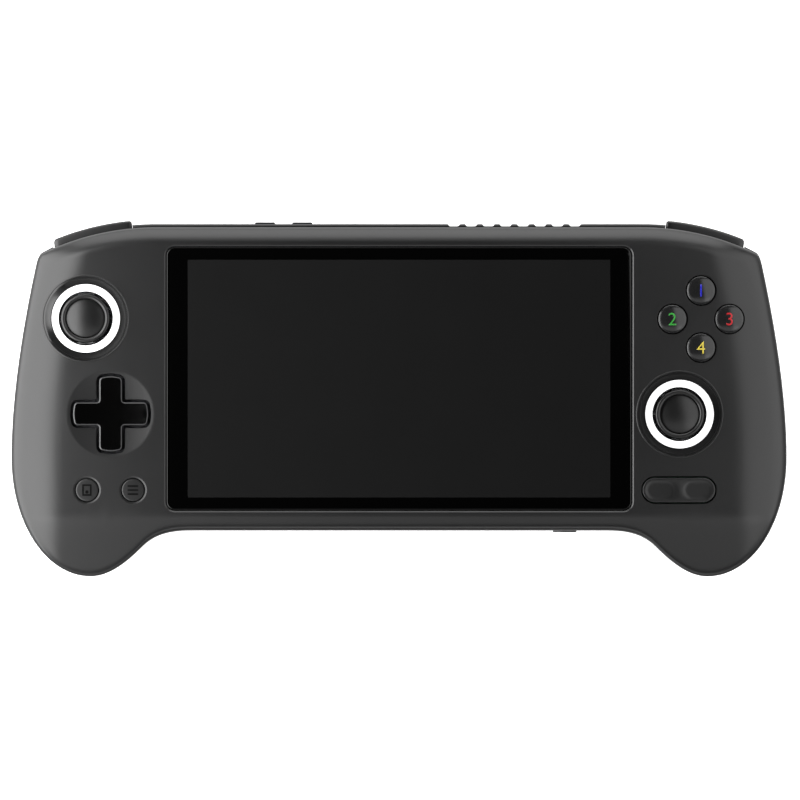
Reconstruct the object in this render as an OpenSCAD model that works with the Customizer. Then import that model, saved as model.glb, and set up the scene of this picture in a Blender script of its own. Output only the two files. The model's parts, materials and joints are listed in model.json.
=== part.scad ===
// Handheld game console: a wide screen between two thumbsticks, with moulded grips behind.
// +X is the player's right, +Y the shoulder-button edge, +Z out of the screen.
// The console lies on the flat pads of its grips, face up. Lengths are in millimetres.

/* [Body] */
// Width across the grips
body_w = 223; // [200:0.5:245]
// Height of the body between the grips
body_h = 87.2; // [79:0.2:95]
// Reach of the grips below the body
grip_drop = 13.2; // [11:0.2:16]
// Thickness of the body, face to back
body_t = 15.5; // [15:0.1:18]
// Depth of the grips behind the back
grip_depth = 10.5; // [9.5:0.1:13]
// Height of the front shell above the parting line
front_depth = 7.5; // [7.2:0.1:8.5]
// Wall of the front shell
front_wall = 2.2; // [2:0.1:2.5]
// Wall of the rear shell
rear_wall = 2; // [1.6:0.1:2.3]
// Step of the rear shell's top edge above the front shell's
rear_step = 1; // [0.4:0.1:1.4]
// Radius of the shoulders, seen from the front
shoulder_r = 75; // [70:1:85]
// Roll of the face towards the sides: width of the rolled band
side_roll = 14.5; // [10:0.5:18]
// Fall of the face at the sides
side_fall = 4.2; // [2.5:0.1:5]
// Rounding of the front shell's rim
front_edge = 4.2; // [3:0.1:5]
// Rounding of the rear shell at the grips
grip_edge = 12; // [8:0.5:14]
// Rounding of the rear shell between the grips
back_edge = 5; // [4:0.1:6]

/* [Screen] */
// Width left of the glass and right of it, for the controls
control_w = 44.74; // [44:0.02:50]
// Height above the glass and below it, together
bezel_h = 11.7; // [11.4:0.1:16]
// Glass border left and right of the lit area
glass_side = 6.1; // [5:0.1:7]
// Glass border above and below the lit area
glass_end = 3.6; // [3:0.1:4.5]
// Corner radius of the glass
glass_r = 2.6; // [1:0.1:5]
// Thickness of the glass
glass_t = 1.1; // [0.8:0.1:1.3]
// Thickness of the display panel
panel_t = 1.8; // [1.2:0.1:2.2]
// Screen centre below the top edge, as a share of the body's height
screen_share = 0.49885; // [0.49:0.001:0.51]

/* [Sticks] */
// Diameter of the stick caps
cap_d = 14.2; // [13:0.1:14.6]
// Height of the stick caps above the face
cap_rise = 4.3; // [4.3:0.1:6]
// Outer diameter of the light rings
ring_od = 19.7; // [19:0.1:21]
// Inner diameter of the light rings
ring_id = 15.6; // [15.6:0.1:16.4]
// Depth of the light rings below the face
ring_sink = 2; // [1.6:0.1:2.2]
// Diameter of the stick wells at the face
well_d = 24.2; // [23.6:0.1:26]
// Depth of the stick pivots below the face
stick_depth = 13; // [12.6:0.1:13.4]
// Diameter of the stick levers
lever_d = 3; // [2.6:0.1:3.2]
// Click travel of the sticks
stick_click = 0.5; // [0.3:0.05:0.6]
// Left stick, from the left side
left_stick_in = 21.5; // [20:0.1:24]
// Left stick, below the top edge
left_stick_down = 26.2; // [25.8:0.1:28]
// Right stick, from the right side
right_stick_in = 30.9; // [29:0.1:31.4]
// Right stick below the left one, as a share of the height below that
right_stick_share = 0.45082; // [0.445:0.001:0.47]

/* [Buttons] */
// Span of the four-way pad
pad_span = 21.6; // [20:0.1:22.4]
// Width of the pad's arms
pad_arm = 6.6; // [6:0.1:7.2]
// Gap round the pad
pad_gap = 0.85; // [0.7:0.05:1]
// Rise of the pad above the face
pad_rise = 1.2; // [0.8:0.1:1.8]
// Pad centre, from the left side
pad_in = 28.7; // [27.8:0.1:30]
// Pad centre below the left stick, as a share of the height below that
pad_share = 0.44918; // [0.44:0.001:0.47]
// Diameter of the face buttons
face_d = 8.1; // [7:0.1:8.6]
// Distance of the face buttons from their common centre
face_pitch = 8.2; // [8:0.1:9]
// Rise of the face buttons above the face
face_rise = 1.6; // [1.4:0.1:2.2]
// Travel of the face buttons
face_travel = 1.2; // [0.8:0.1:1.2]
// Centre of the face buttons, from the right side
face_in = 24.8; // [24:0.1:26]
// Centre of the face buttons, below the top edge
face_down = 26.4; // [25.5:0.1:27]
// Diameter of the small round buttons
small_d = 6.3; // [5:0.1:7]
// Rise of the small round buttons and the long button above the face
small_rise = 0.4; // [0.2:0.1:1]
// Travel of the small round buttons
small_travel = 0.5; // [0.3:0.05:0.5]
// Outer small button, from the left side
small_out_in = 21.9; // [21:0.1:23]
// Inner small button, from the left side
small_in_in = 35.1; // [34:0.1:36]
// Length of the long button
long_w = 20.8; // [18:0.1:21]
// Width of the long button
long_h = 7; // [6:0.1:7.4]
// Centre of the long button, from the right side
long_in = 31.1; // [30.5:0.1:32]
// Low row of buttons below the left stick, as a share of the height below that
low_row_share = 0.8082; // [0.8:0.001:0.82]
// Running gap round every button and key
button_gap = 0.38; // [0.3:0.01:0.45]

/* [Shoulders] */
// How far the bumpers stand proud of the front shell
bumper_proud = 2.3; // [1.6:0.1:2.8]
// Height of the bumpers behind the front shell
bumper_h = 6.6; // [6:0.1:6.8]
// Half the angle that a bumper covers
bumper_half = 8.65; // [8:0.05:9]
// Swing of the pins' running fit, radial
pin_fit = 0.05; // [0.02:0.01:0.08]
// Radius of the trigger and bumper pins
pin_r = 1; // [0.8:0.05:1.1]
// Half the width of a trigger
trigger_half = 10.7; // [10:0.1:11.2]
// Depth of the trigger tips above the resting plane
trigger_tip = 1.5; // [1.2:0.1:3]

/* [Edges] */
// Number of vent slots in the top edge
vent_count = 8; // [4:1:9]
// Pitch of the vent slots
vent_pitch = 4.97; // [4.4:0.01:5]
// Width of a vent slot
vent_w = 3.1; // [2:0.1:3.4]
// Centre of the vents from the right side, and of the volume rocker from the left side
top_key_in = 78.3; // [76:0.1:80]
// Length of the volume rocker
volume_w = 16.6; // [14:0.1:18]
// Power key, from the left side
power_in = 55.5; // [54.5:0.1:57.5]
// Length of the power key
power_w = 7; // [5:0.1:8]
// Headphone jack, from the right side
jack_in = 63.8; // [60:0.1:66]
// Collar diameter of the headphone jack
jack_d = 6.8; // [6.2:0.1:7]
// Bore diameter of the headphone jack
jack_bore = 3.6; // [3.5:0.05:3.8]
// Depth of the headphone jack's bore
jack_depth = 13; // [12:0.5:13.5]
// Card socket, from the left side
card_in = 56.5; // [55.5:0.1:57]
// Width of the charging port's shell
usb_w = 8.94; // [8.5:0.01:9.2]
// Height of the charging port's shell
usb_h = 3.2; // [3:0.01:3.4]

/* [Hidden] */
$fn = 48;
eps = 0.01;

// Heights: the grips rest at zero, the back, the parting line and the face lie above
z_back = grip_depth;
z_face = z_back + body_t;
z_part = z_face - front_depth;
z_ceil = z_face - front_wall;
z_floor = z_back + rear_wall;
board_t = 1.2;
control_room = 3.8;
z_board = z_ceil - control_room;
seat_gap = 0.2;
face_gap = 0.3;

// Places seen from the front: the origin is midway between the grip tips and the bumpers
half_w = body_w / 2;
bumper_mid = 13.85;
bumper_start = bumper_mid - bumper_half;
bumper_crest = (shoulder_r + bumper_proud) * cos(bumper_start) - shoulder_r;
overall_h = grip_drop + body_h + bumper_crest;
y_tip = -overall_h / 2;
y_bot = y_tip + grip_drop;
y_top = y_bot + body_h;
shoulder_in = 41.5;
shoulder_x = half_w - shoulder_in;
shoulder_y = y_top - shoulder_r;
shoulder_end = 25.8;

// Outline of the front shell, right half, from the top centre to the bottom centre
function lerp(a, b, t) = a + (b - a) * t;
function clamp(v, low, high) = max(low, min(high, v));
function smooth(t) = let (c = clamp(t, 0, 1)) c * c * (3 - 2 * c);
function bezier(p, t) =
  pow(1 - t, 3) * p[0] + 3 * t * pow(1 - t, 2) * p[1] + 3 * t * t * (1 - t) * p[2] + t * t * t * p[3];
function bezier_run(p, n) = [for (i = [1:n]) bezier(p, i / n)];
function shoulder_point(a) = [shoulder_x + shoulder_r * sin(a), shoulder_y + shoulder_r * cos(a)];
corner_from = shoulder_point(shoulder_end);
corner_to = [half_w - 6.9, y_top - 11.7];
side_way = [0.21, -0.978];
y_wide = y_tip + 34.2;
tip_x = half_w - 22.8;
grip_inner = [half_w - 37.7, y_bot - 0.35 * grip_drop];
inner_way = [-0.707, 0.707];
bottom_x = half_w - 51.5;
corner_curve = [
  corner_from, corner_from + 1.3 * [cos(shoulder_end), -sin(shoulder_end)],
  corner_to - 2 * side_way, corner_to
];
side_curve = [corner_to, corner_to + 18 * side_way, [half_w, y_wide + 17], [half_w, y_wide]];
grip_curve = [[half_w, y_wide], [half_w, y_wide - 18.5], [tip_x + 13, y_tip], [tip_x, y_tip]];
inner_curve = [[tip_x, y_tip], [tip_x - 5.5, y_tip], grip_inner - 6.2 * inner_way, grip_inner];
bottom_curve = [
  grip_inner, grip_inner + 4.9 * inner_way, [bottom_x + 6, y_bot], [bottom_x, y_bot]
];
half_outline = concat(
  [for (i = [0:4]) [shoulder_x * i / 5, y_top]],
  [for (i = [0:8]) shoulder_point(shoulder_end * i / 8)],
  bezier_run(corner_curve, 4), bezier_run(side_curve, 7), bezier_run(grip_curve, 11),
  bezier_run(inner_curve, 6), bezier_run(bottom_curve, 5),
  [for (i = [3:-1:0]) [bottom_x * i / 4, y_bot]]
);
function mirrored(half) = concat(half, [for (i = [len(half) - 2:-1:1]) [-half[i].x, half[i].y]]);
front_outline = mirrored(half_outline);
step_fade = 12;
function top_share(p) = smooth((p.y - y_top + step_fade) / step_fade);
function stepped(p) = [p.x, p.y + rear_step * top_share(p)];
rear_outline = mirrored([for (p = half_outline) stepped(p)]);

// Rings run inwards from the outline towards a core rectangle, which keeps them from crossing
core_x = half_w - 27.5;
core_low = y_bot + 18;
core_high = y_top - 22;
function core(p) = [clamp(p.x, -core_x, core_x), clamp(p.y, core_low, core_high)];
function inset(p, d) = let (v = core(p) - p) p + v * (d / norm(v));
function core_depth(p) = norm(core(p) - p);

// Face of the front shell: flat, rolled down at both sides and sloped at the chin and grips
chin_h = 5;
chin_slope = 0.27;
chin_blend = 2.5;
side_bow = (half_w - corner_to.x) / pow(corner_to.y - y_wide, 2);
function side_x(y) = half_w - side_bow * pow(max(0, y - y_wide), 2);
function face_z(p) = let (
    q = max(0, (abs(p.x) - side_x(p.y)) / side_roll + 1),
    t = max(0, y_bot + chin_h - p.y)
  ) z_face - side_fall * q * q - chin_slope * t * t / (t + chin_blend);

// Back of the rear shell: flat, swelling down to the resting plane at both grips
swell_in = 57.5;
swell_run = 26;
swell_down = 3;
swell_fall = 18;
function back_z(p) = z_back * (1
  - smooth((abs(p.x) - half_w + swell_in) / swell_run)
  * smooth((y_top - swell_down - p.y) / swell_fall));
function rear_edge(p) = lerp(back_edge, grip_edge,
  smooth((abs(p.x) - half_w + 50) / 25) * smooth((y_top - 8 - p.y) / 16));
inner_core_x = half_w - 66;
function inner_core(p) = [
  clamp(p.x, -inner_core_x, inner_core_x), clamp(p.y, core_low + 10, core_high - 12)
];

// The edge of the face is a quarter of an ellipse that turns into a bowed bevel along the top
bevel_slope = 0.2;
bevel_bow = 0.2;
function rim_height(a, p, wall) = wall > 0 || a == 0 ? sin(a)
  : lerp(sin(a), 1 - bevel_slope * cos(a) - bevel_bow * pow(cos(a), 2), top_share(p));
function front_rim(a, wall) = [for (p = front_outline)
  let (q = inset(p, wall + front_edge * (1 - cos(a))))
  [q.x, q.y, z_part + (face_z(q) - wall - z_part) * rim_height(a, p, wall)]];
function front_field(f, wall) = [for (p = front_outline)
  let (q = inset(p, lerp(wall + front_edge, core_depth(p), f)))
  [q.x, q.y, face_z(q) - wall]];
function rear_rim(a, wall) = [for (p = rear_outline)
  let (q = inset(p, wall + rear_edge(p) * (1 - cos(a))))
  [q.x, q.y, z_part - (z_part - back_z(q) - wall) * sin(a)]];
function rear_place(p, wall, f) = inset(p, lerp(wall + rear_edge(p), core_depth(p), f));
function rear_field(f, wall) = [for (p = rear_outline)
  let (q = rear_place(p, wall, f)) [q.x, q.y, back_z(q) + wall]];
field_end = 0.9;
function rear_middle(v, wall) = [for (p = rear_outline)
  let (e = rear_place(p, wall, field_end), q = lerp(e, inner_core(e), v))
  [q.x, q.y, back_z(q) + wall]];
front_rings = concat(
  [for (f = [0.9, 0.6, 0.3]) front_field(f, 0)], [for (a = [90, 66, 44, 22, 0]) front_rim(a, 0)],
  [for (a = [0, 40, 90]) front_rim(a, front_wall)], [for (f = [0.4, 0.9]) front_field(f, front_wall)]
);
rear_rings = concat(
  [for (v = [0.97, 0.6, 0.25]) rear_middle(v, rear_wall)], [rear_field(field_end, rear_wall)],
  [for (a = [90, 60, 30, 0]) rear_rim(a, rear_wall)],
  [for (a = [0, 18, 36, 54, 72, 90]) rear_rim(a, 0)], [for (f = [0.4, field_end]) rear_field(f, 0)],
  [for (v = [0.2, 0.4, 0.6, 0.8, 0.97]) rear_middle(v, 0)]
);

// Closed skin through rings that each have as many points, closed at both ends round a middle point
function middle(ring) = [for (axis = [0:2]) [for (p = ring) p[axis]] * [for (p = ring) 1 / len(ring)]];
module loft(rings) {
  n = len(rings[0]);
  last = len(rings) - 1;
  first_middle = n * len(rings);
  last_middle = first_middle + 1;
  polyhedron(
    points = concat([for (r = rings) each r], [middle(rings[0]), middle(rings[last])]),
    faces = concat(
      [for (i = [0:n - 1]) [first_middle, i, (i + 1) % n]],
      [for (k = [0:last - 1], i = [0:n - 1])
        each let (j = (i + 1) % n, a = k * n, b = a + n) [[a + i, b + i, a + j], [a + j, b + i, b + j]]],
      [for (i = [0:n - 1]) [last_middle, last * n + (i + 1) % n, last * n + i]]
    ),
    convexity = 8
  );
}

// Plain forms used by several pieces
module rounded_rect(w, h, r) {
  square([w - 2 * r, h], center = true);
  square([w, h - 2 * r], center = true);
  for (x = [-1, 1], y = [-1, 1]) translate([x * (w / 2 - r), y * (h / 2 - r)]) circle(r);
}
module rounded_plate(w, h, r, z0, z1) {
  translate([0, 0, z0]) linear_extrude(z1 - z0) rounded_rect(w, h, r);
}
module stadium(w, h) {
  square([w - h, h], center = true);
  for (x = [-1, 1]) translate([x * (w - h) / 2, 0]) circle(h / 2);
}
module stadium_plate(w, h, z0, z1) {
  translate([0, 0, z0]) linear_extrude(z1 - z0) stadium(w, h);
}
module disc(r, z0, z1) {
  translate([0, 0, z0]) cylinder(r = r, h = z1 - z0);
}
module box(x0, x1, y0, y1, z0, z1) {
  translate([x0, y0, z0]) cube([x1 - x0, y1 - y0, z1 - z0]);
}
module tube_ring(r0, r1, z0, z1) {
  difference() {
    disc(r1, z0, z1);
    disc(r0, z0 - 1, z1 + 1);
  }
}
module both_sides() {
  children();
  mirror([1, 0, 0]) children();
}
module on_left() {
  mirror([1, 0, 0]) children();
}

// Places of the controls
screen_w = min(
  body_w - 2 * (control_w + glass_side), (body_h - bezel_h - 2 * glass_end) * 16 / 9
);
screen_h = screen_w * 9 / 16;
screen_y = y_top - screen_share * body_h;
glass_gap = 0.2;
glass_w = screen_w + 2 * glass_side;
glass_h = screen_h + 2 * glass_end;
z_glass = z_face - 0.1;
z_ledge = z_glass - glass_t;
panel_border = 1.6;
panel_w = screen_w + 2 * panel_border;
panel_h = screen_h + 2 * panel_border;
panel_gap = 0.5;
left_stick = [left_stick_in - half_w, y_top - left_stick_down];
lower_h = left_stick.y - y_bot;
right_stick = [half_w - right_stick_in, left_stick.y - right_stick_share * lower_h];
pad_at = [pad_in - half_w, left_stick.y - pad_share * lower_h];
face_at = [half_w - face_in, y_top - face_down];
low_row_y = left_stick.y - low_row_share * lower_h;
outer_small_at = [small_out_in - half_w, low_row_y];
inner_small_at = [small_in_in - half_w, low_row_y];
long_at = [half_w - long_in, low_row_y];
top_key_x = half_w - top_key_in;
power_x = half_w - power_in;
jack_x = half_w - jack_in;
card_x = half_w - card_in;
face_turns = [90, 180, 0, 270];

// Screws from the back into the front shell
screw_r = 0.95;
screw_head_r = 1.9;
screw_head_h = 1.5;
screw_fit = 0.05;
drive_half = 1.1;
drive_w = 0.5;
drive_depth = 0.7;
head_gap = 0.3;
shank_gap = 0.25;
boss_r = 3.1;
front_boss_r = 2.6;
boss_gap = 0.2;
screw_seat = z_part - 4.5;
screw_places = [
  [half_w - 42.7, y_top - 10.7], [half_w - 11, y_tip + 37.2], [half_w - 31.5, y_bot + 2]
];
screw_reach = 3.6;

// Posts that carry the boards
post_r = 1.7;
post_in = 41;
post_out = 9.5;
left_posts = [
  [half_w - post_in + 1, y_top - 0.4037 * body_h], [half_w - post_in, y_top - 0.7821 * body_h],
  [half_w - post_out, y_top - 0.5413 * body_h], [half_w - post_out - 3, y_bot + 0.0745 * body_h]
];
right_posts = [
  [half_w - post_in, y_top - 0.4128 * body_h], [half_w - post_in - 0.7, y_top - 0.7592 * body_h],
  [half_w - post_out, y_top - 0.5183 * body_h], [half_w - post_out - 3, y_bot + 0.0745 * body_h]
];
main_post_in = 53.4;
main_posts = [for (share = [0.1055, 0.633]) [half_w - main_post_in, y_top - share * body_h]];

// Light rings and wells round the sticks
z_ring = z_face - ring_sink;
ring_fit = 0.2;
well_r0 = ring_od / 2 + ring_fit;
well_slope = (well_d / 2 - well_r0) / ring_sink;
well_boss_r = 11.6;
z_well_boss = z_ceil - 1.7;
ring_flange_r = 11;
ring_flange_t = 1;
ring_skirt_r = 9;

module stick_well() {
  over = 2;
  translate([0, 0, z_ring]) cylinder(
    r1 = well_r0, r2 = well_r0 + well_slope * (ring_sink + over), h = ring_sink + over
  );
  disc(well_r0, z_well_boss - 1, z_ring + eps);
}
module light_ring() {
  z_top = z_well_boss - seat_gap;
  z_foot = z_board + seat_gap;
  difference() {
    union() {
      disc(ring_od / 2, z_top - eps, z_ring);
      disc(ring_flange_r, z_top - ring_flange_t, z_top);
      disc(ring_skirt_r, z_foot, z_top - ring_flange_t + eps);
    }
    disc(ring_id / 2, z_foot - 1, z_ring + 1);
  }
}
module left_light_ring() { color("white") translate(left_stick) light_ring(); }
module right_light_ring() { color("white") translate(right_stick) light_ring(); }

// Four-way pad, its dish in the face and its opening
pad_dish_r = 12.85;
pad_dish_depth = 0.9;
pad_dish_ball = (pow(pad_dish_r, 2) + pow(pad_dish_depth, 2)) / (2 * pad_dish_depth);
pad_corner = 1.2;
pad_bow = 0.25;
function corner_run(c, r) = [for (i = [0:4]) c + r * [cos(22.5 * i), sin(22.5 * i)]];
function cross_arm(span, arm, r) = let (s = span / 2 - pad_bow, a = arm / 2) concat(
  corner_run([s - r, a - r], r), [[a, a]], corner_run([a - r, s - r], r),
  [for (t = [0.5, 0, -0.5]) [(a - r) * t, s + pad_bow * (1 - t * t)]]
);
module cross(span, arm, r) {
  polygon([for (q = [0:90:270]) for (p = cross_arm(span, arm, r))
    [p.x * cos(q) - p.y * sin(q), p.x * sin(q) + p.y * cos(q)]]);
}
module front_shell() {
  color("#333335") difference() {
    union() {
      loft(front_rings);
      for (c = [left_stick, right_stick]) translate(c) disc(well_boss_r, z_well_boss, z_ceil + 0.1);
      both_sides() for (c = screw_places)
        translate(c) disc(front_boss_r, z_part + boss_gap, z_ceil + 0.3);
      for (c = right_posts) translate(c) disc(post_r, z_board, z_ceil + 0.3);
      on_left() for (c = left_posts) translate(c) disc(post_r, z_board, z_ceil + 0.3);
    }
    both_sides() for (c = screw_places) translate(c)
      disc(screw_r + screw_fit, z_part, z_part + boss_gap + screw_reach + 0.4);
    translate([0, screen_y]) {
      rounded_plate(glass_w + 2 * glass_gap, glass_h + 2 * glass_gap, glass_r, z_ledge, z_face + 1);
      rounded_plate(panel_w + 2 * panel_gap, panel_h + 2 * panel_gap, 1, z_ceil - 1, z_ledge + eps);
    }
    for (c = [left_stick, right_stick]) translate(c) stick_well();
    translate(pad_at) {
      translate([0, 0, z_face - pad_dish_depth + pad_dish_ball]) sphere(pad_dish_ball);
      translate([0, 0, z_ceil - 1]) linear_extrude(front_wall + 2)
        cross(pad_span + 2 * pad_gap, pad_arm + 2 * pad_gap, pad_corner + pad_gap);
    }
    for (a = face_turns) translate(face_at + face_pitch * [cos(a), sin(a)]) {
      disc(face_d / 2 + button_gap, z_ceil - 1, z_face + 1);
      disc(face_flange_r + face_gap, z_ceil - front_wall, z_ceil);
    }
    for (c = [outer_small_at, inner_small_at]) translate(c)
      disc(small_d / 2 + button_gap, z_ceil - 1, z_face + 1);
    translate(long_at)
      stadium_plate(long_w + 2 * button_gap, long_h + 2 * button_gap, z_ceil - 1, z_face + 1);
  }
}

// Shoulder frame: origin on the shoulder arc's centre, +Y out through the middle of the bumper
module at_shoulder() {
  translate([shoulder_x, shoulder_y]) rotate([0, 0, -bumper_mid]) children();
}
bumper_inner = 2.6;
bumper_swing = 3;
bumper_pivot_back = 1.8;
bumper_pivot_r = shoulder_r - 2.8;
bumper_boss_r = 2;
neck_turn = 2.2;
neck_front = 0.9;
neck_back = 0.3;
boss_rise = 1;
bay_gap = 0.15;
end_gap = 0.2;
end_over = 0.4;
end_cut = 0.6;
bay_depth = 5.2;
z_bumper = z_part - face_gap;
z_bumper_low = z_bumper - bumper_h;
z_trigger = z_bumper_low - 0.5;
z_split = z_bumper_low - 0.3;
pivot_turn = bumper_half + bumper_pivot_back;
bumper_pivot = bumper_pivot_r * [-sin(pivot_turn), cos(pivot_turn)];
bumper_end = shoulder_r * [sin(bumper_half + end_over), cos(bumper_half + end_over)];
bumper_reach = norm(bumper_end - bumper_pivot);
crest_r = shoulder_r + bumper_proud;
crest_end = acos((pow(crest_r, 2) + pow(bumper_pivot_r, 2) - pow(bumper_reach, 2))
  / (2 * crest_r * bumper_pivot_r)) - pivot_turn;
trigger_r = shoulder_r - 9.5;
z_trigger_pin = z_bumper_low + 1.9;
apron_r = 6.4;
trigger_gap = 0.3;
pivot_boss_gap = 0.7;
cheek_gap = 0.9;
cheek_t = 1.2;
cheek_back = 2;
cheek_front = 2;
cheek_low = 1.7;
bracket_half = trigger_half + cheek_gap + cheek_t;
// Sector whose outer end is round about the bumper's pin, so that the end slides along its bay
module bumper_sector(r0, r1, gap, reach, z0, z1) {
  from = bumper_half + gap;
  to = bumper_half + 3;
  translate([0, 0, z0]) linear_extrude(z1 - z0) difference() {
    intersection() {
      circle(r1, $fn = 96);
      polygon([[0, 0], 2 * r1 * [-sin(from), cos(from)], 2 * r1 * [sin(to), cos(to)]]);
      translate(bumper_pivot) circle(reach, $fn = 96);
    }
    circle(r0, $fn = 96);
  }
}
module shoulder_bay() {
  at_shoulder() {
    bumper_sector(shoulder_r - bay_depth, shoulder_r + 12, bay_gap, bumper_reach + end_gap,
      z_split, z_part + 1);
    translate(bumper_pivot) disc(bumper_boss_r + pivot_boss_gap, z_bumper_low + 0.6, z_part + 1);
    box(-trigger_half - trigger_gap, trigger_half + trigger_gap,
      trigger_r - 1.1, shoulder_r + 12, -5, z_split + eps);
    box(-trigger_half - trigger_gap, trigger_half + trigger_gap,
      trigger_r - 1.1, shoulder_r - bay_depth + eps, z_split, z_floor + 1);
    box(-bracket_half - face_gap, bracket_half + face_gap,
      trigger_r - cheek_back - face_gap, trigger_r + cheek_front + face_gap,
      z_trigger_pin - cheek_low - face_gap, z_part);
  }
}

// Edge openings of the rear shell
z_jack = z_part - 3.6;
jack_fit = 0.2;
jack_proud = 0.5;
jack_body_r = 2.9;
z_usb = z_part - 2.5;
z_card = z_part - 1.8;
card_slit_w = 12.4;
card_slit_h = 1.7;
port_fit = 0.25;
z_key = z_part - 2.9;
key_h = 3.2;
vent_low = 5;
vent_bridge = 1.2;
vent_notch = 0.66;
wall_in = 6;
wall_out = 4;
module through_bottom(z) {
  translate([0, y_bot - 1, z]) rotate([90, 0, 0]) translate([0, 0, -8]) children();
}
module rear_openings() {
  for (i = [0:vent_count - 1]) translate([top_key_x + (i - (vent_count - 1) / 2) * vent_pitch, 0]) {
    box(-vent_w / 2, vent_w / 2, y_top - wall_in, y_top + wall_out, z_part - vent_low, z_part - vent_bridge);
    box(-vent_w / 2, vent_w / 2, y_top + rear_step - vent_notch, y_top + wall_out,
      z_part - vent_low, z_part + 1);
  }
  box(-top_key_x - volume_w / 2 - button_gap, -top_key_x + volume_w / 2 + button_gap,
    y_top - wall_in, y_top + wall_out, z_key - key_h / 2 - button_gap, z_key + key_h / 2 + button_gap);
  box(-power_x - power_w / 2 - button_gap, -power_x + power_w / 2 + button_gap,
    y_top - wall_in, y_top + wall_out, z_key - key_h / 2 - button_gap, z_key + key_h / 2 + button_gap);
  translate([jack_x, 0]) {
    through_bottom(z_jack) cylinder(r = jack_d / 2 + jack_fit, h = 12);
    box(-jack_d / 2 - jack_fit, jack_d / 2 + jack_fit, y_bot - 5, y_bot + 7, z_jack, z_part + 1);
    translate([0, 0, z_jack]) along_y(jack_body_r + jack_fit, y_bot + 6, y_bot + jack_depth + 1);
  }
  through_bottom(z_usb) linear_extrude(12) stadium(usb_w + 2 * port_fit, usb_h + 2 * port_fit);
  translate([-card_x, 0]) through_bottom(z_card)
    linear_extrude(12) square([card_slit_w, card_slit_h], center = true);
}

// Fan intake slits in the back, speaker slits in the grips' lower edge
fan_down = 23;
fan_at = [top_key_x, y_top - fan_down];
slit_w = 1.8;
slit_pitch = 3.6;
slit_count = 7;
slit_reach = 13;
speaker_at = [half_w - 22, y_tip + 12];
speaker_slits = 5;
speaker_pitch = 2.6;
speaker_slit_w = 1.3;
module sound_slits() {
  for (i = [0:speaker_slits - 1])
    translate([speaker_at.x + (i - (speaker_slits - 1) / 2) * speaker_pitch, 0])
      box(-speaker_slit_w / 2, speaker_slit_w / 2, y_tip - 4, y_tip + 5.5, z_part - 7, z_part - 2);
}
module intake_slits() {
  for (i = [0:slit_count - 1]) {
    u = (i - (slit_count - 1) / 2) * slit_pitch;
    w = 2 * sqrt(pow(slit_reach, 2) - u * u);
    translate([fan_at.x, fan_at.y + u]) stadium_plate(w, slit_w, z_back - 2, z_floor + 1);
  }
}
module rear_shell() {
  color("#2c2c2e") union() {
    difference() {
      union() {
        loft(rear_rings);
        both_sides() for (c = screw_places) translate(c) disc(boss_r, back_z(c) + 1.2, z_part - boss_gap);
        both_sides() for (c = main_posts) translate(c) disc(post_r, back_z(c) + 0.7, z_board - board_t);
      }
      both_sides() {
        shoulder_bay();
        sound_slits();
        for (c = screw_places) translate(c) {
          disc(screw_head_r + head_gap, -z_back, screw_seat);
          disc(screw_r + shank_gap, screw_seat - 1, z_part);
        }
      }
      rear_openings();
      intake_slits();
    }
    both_sides() at_shoulder() translate(bumper_pivot) disc(pin_r, z_bumper_low - 0.6, z_bumper);
  }
}
module case_screws() {
  color("#8a8c90") both_sides() for (c = screw_places) translate(c) difference() {
    union() {
      disc(screw_head_r, screw_seat - screw_head_h, screw_seat);
      disc(screw_r, screw_seat - eps, z_part + boss_gap + screw_reach);
    }
    for (a = [0, 90]) rotate([0, 0, a])
      box(-drive_half, drive_half, -drive_w / 2, drive_w / 2,
        screw_seat - screw_head_h - 1, screw_seat - screw_head_h + drive_depth);
  }
}

// Screen
module screen_glass() {
  color("#0b0b0c") translate([0, screen_y])
    rounded_plate(glass_w, glass_h, glass_r - glass_gap, z_ledge, z_glass);
}
module display_panel() {
  color("#202022") translate([0, screen_y]) rounded_plate(panel_w, panel_h, 0.6, z_ledge - panel_t, z_ledge);
}

// Stick mechanism, drawn about its pivot point
z_pivot = z_face - stick_depth;
lever_r = lever_d / 2;
axle_r = 0.8;
cross_r = 0.6;
axle_fit = 0.05;
arch_inner = 5.6;
arch_outer = 6.8;
arch_half = 2.3;
slot_gap = 0.2;
yoke_x = 4.7;
yoke_y = 5.2;
yoke_half_h = 1.5;
yoke_wall = 1.3;
carrier_in = 6.3;
carrier_t = 1;
carrier_half = 2.2;
carrier_floor = 4.4;
housing_in = 7.7;
housing_wall = 1.1;
housing_floor = 6.2;
housing_top = 3;
pillar = 1.7;
dome_r = 10.2;
dome_edge = 40;
neck_r = 3.6;
z_cap = z_face + cap_rise;
cap_t = 1.7;
lever_in_cap = 1.2;
module at_pivot(c) {
  translate([c.x, c.y, z_pivot]) children();
}
module along_x(r, x0, x1) {
  translate([x0, 0, 0]) rotate([0, 90, 0]) cylinder(r = r, h = x1 - x0);
}
module along_y(r, y0, y1) {
  translate([0, y0, 0]) rotate([-90, 0, 0]) cylinder(r = r, h = y1 - y0);
}
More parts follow.
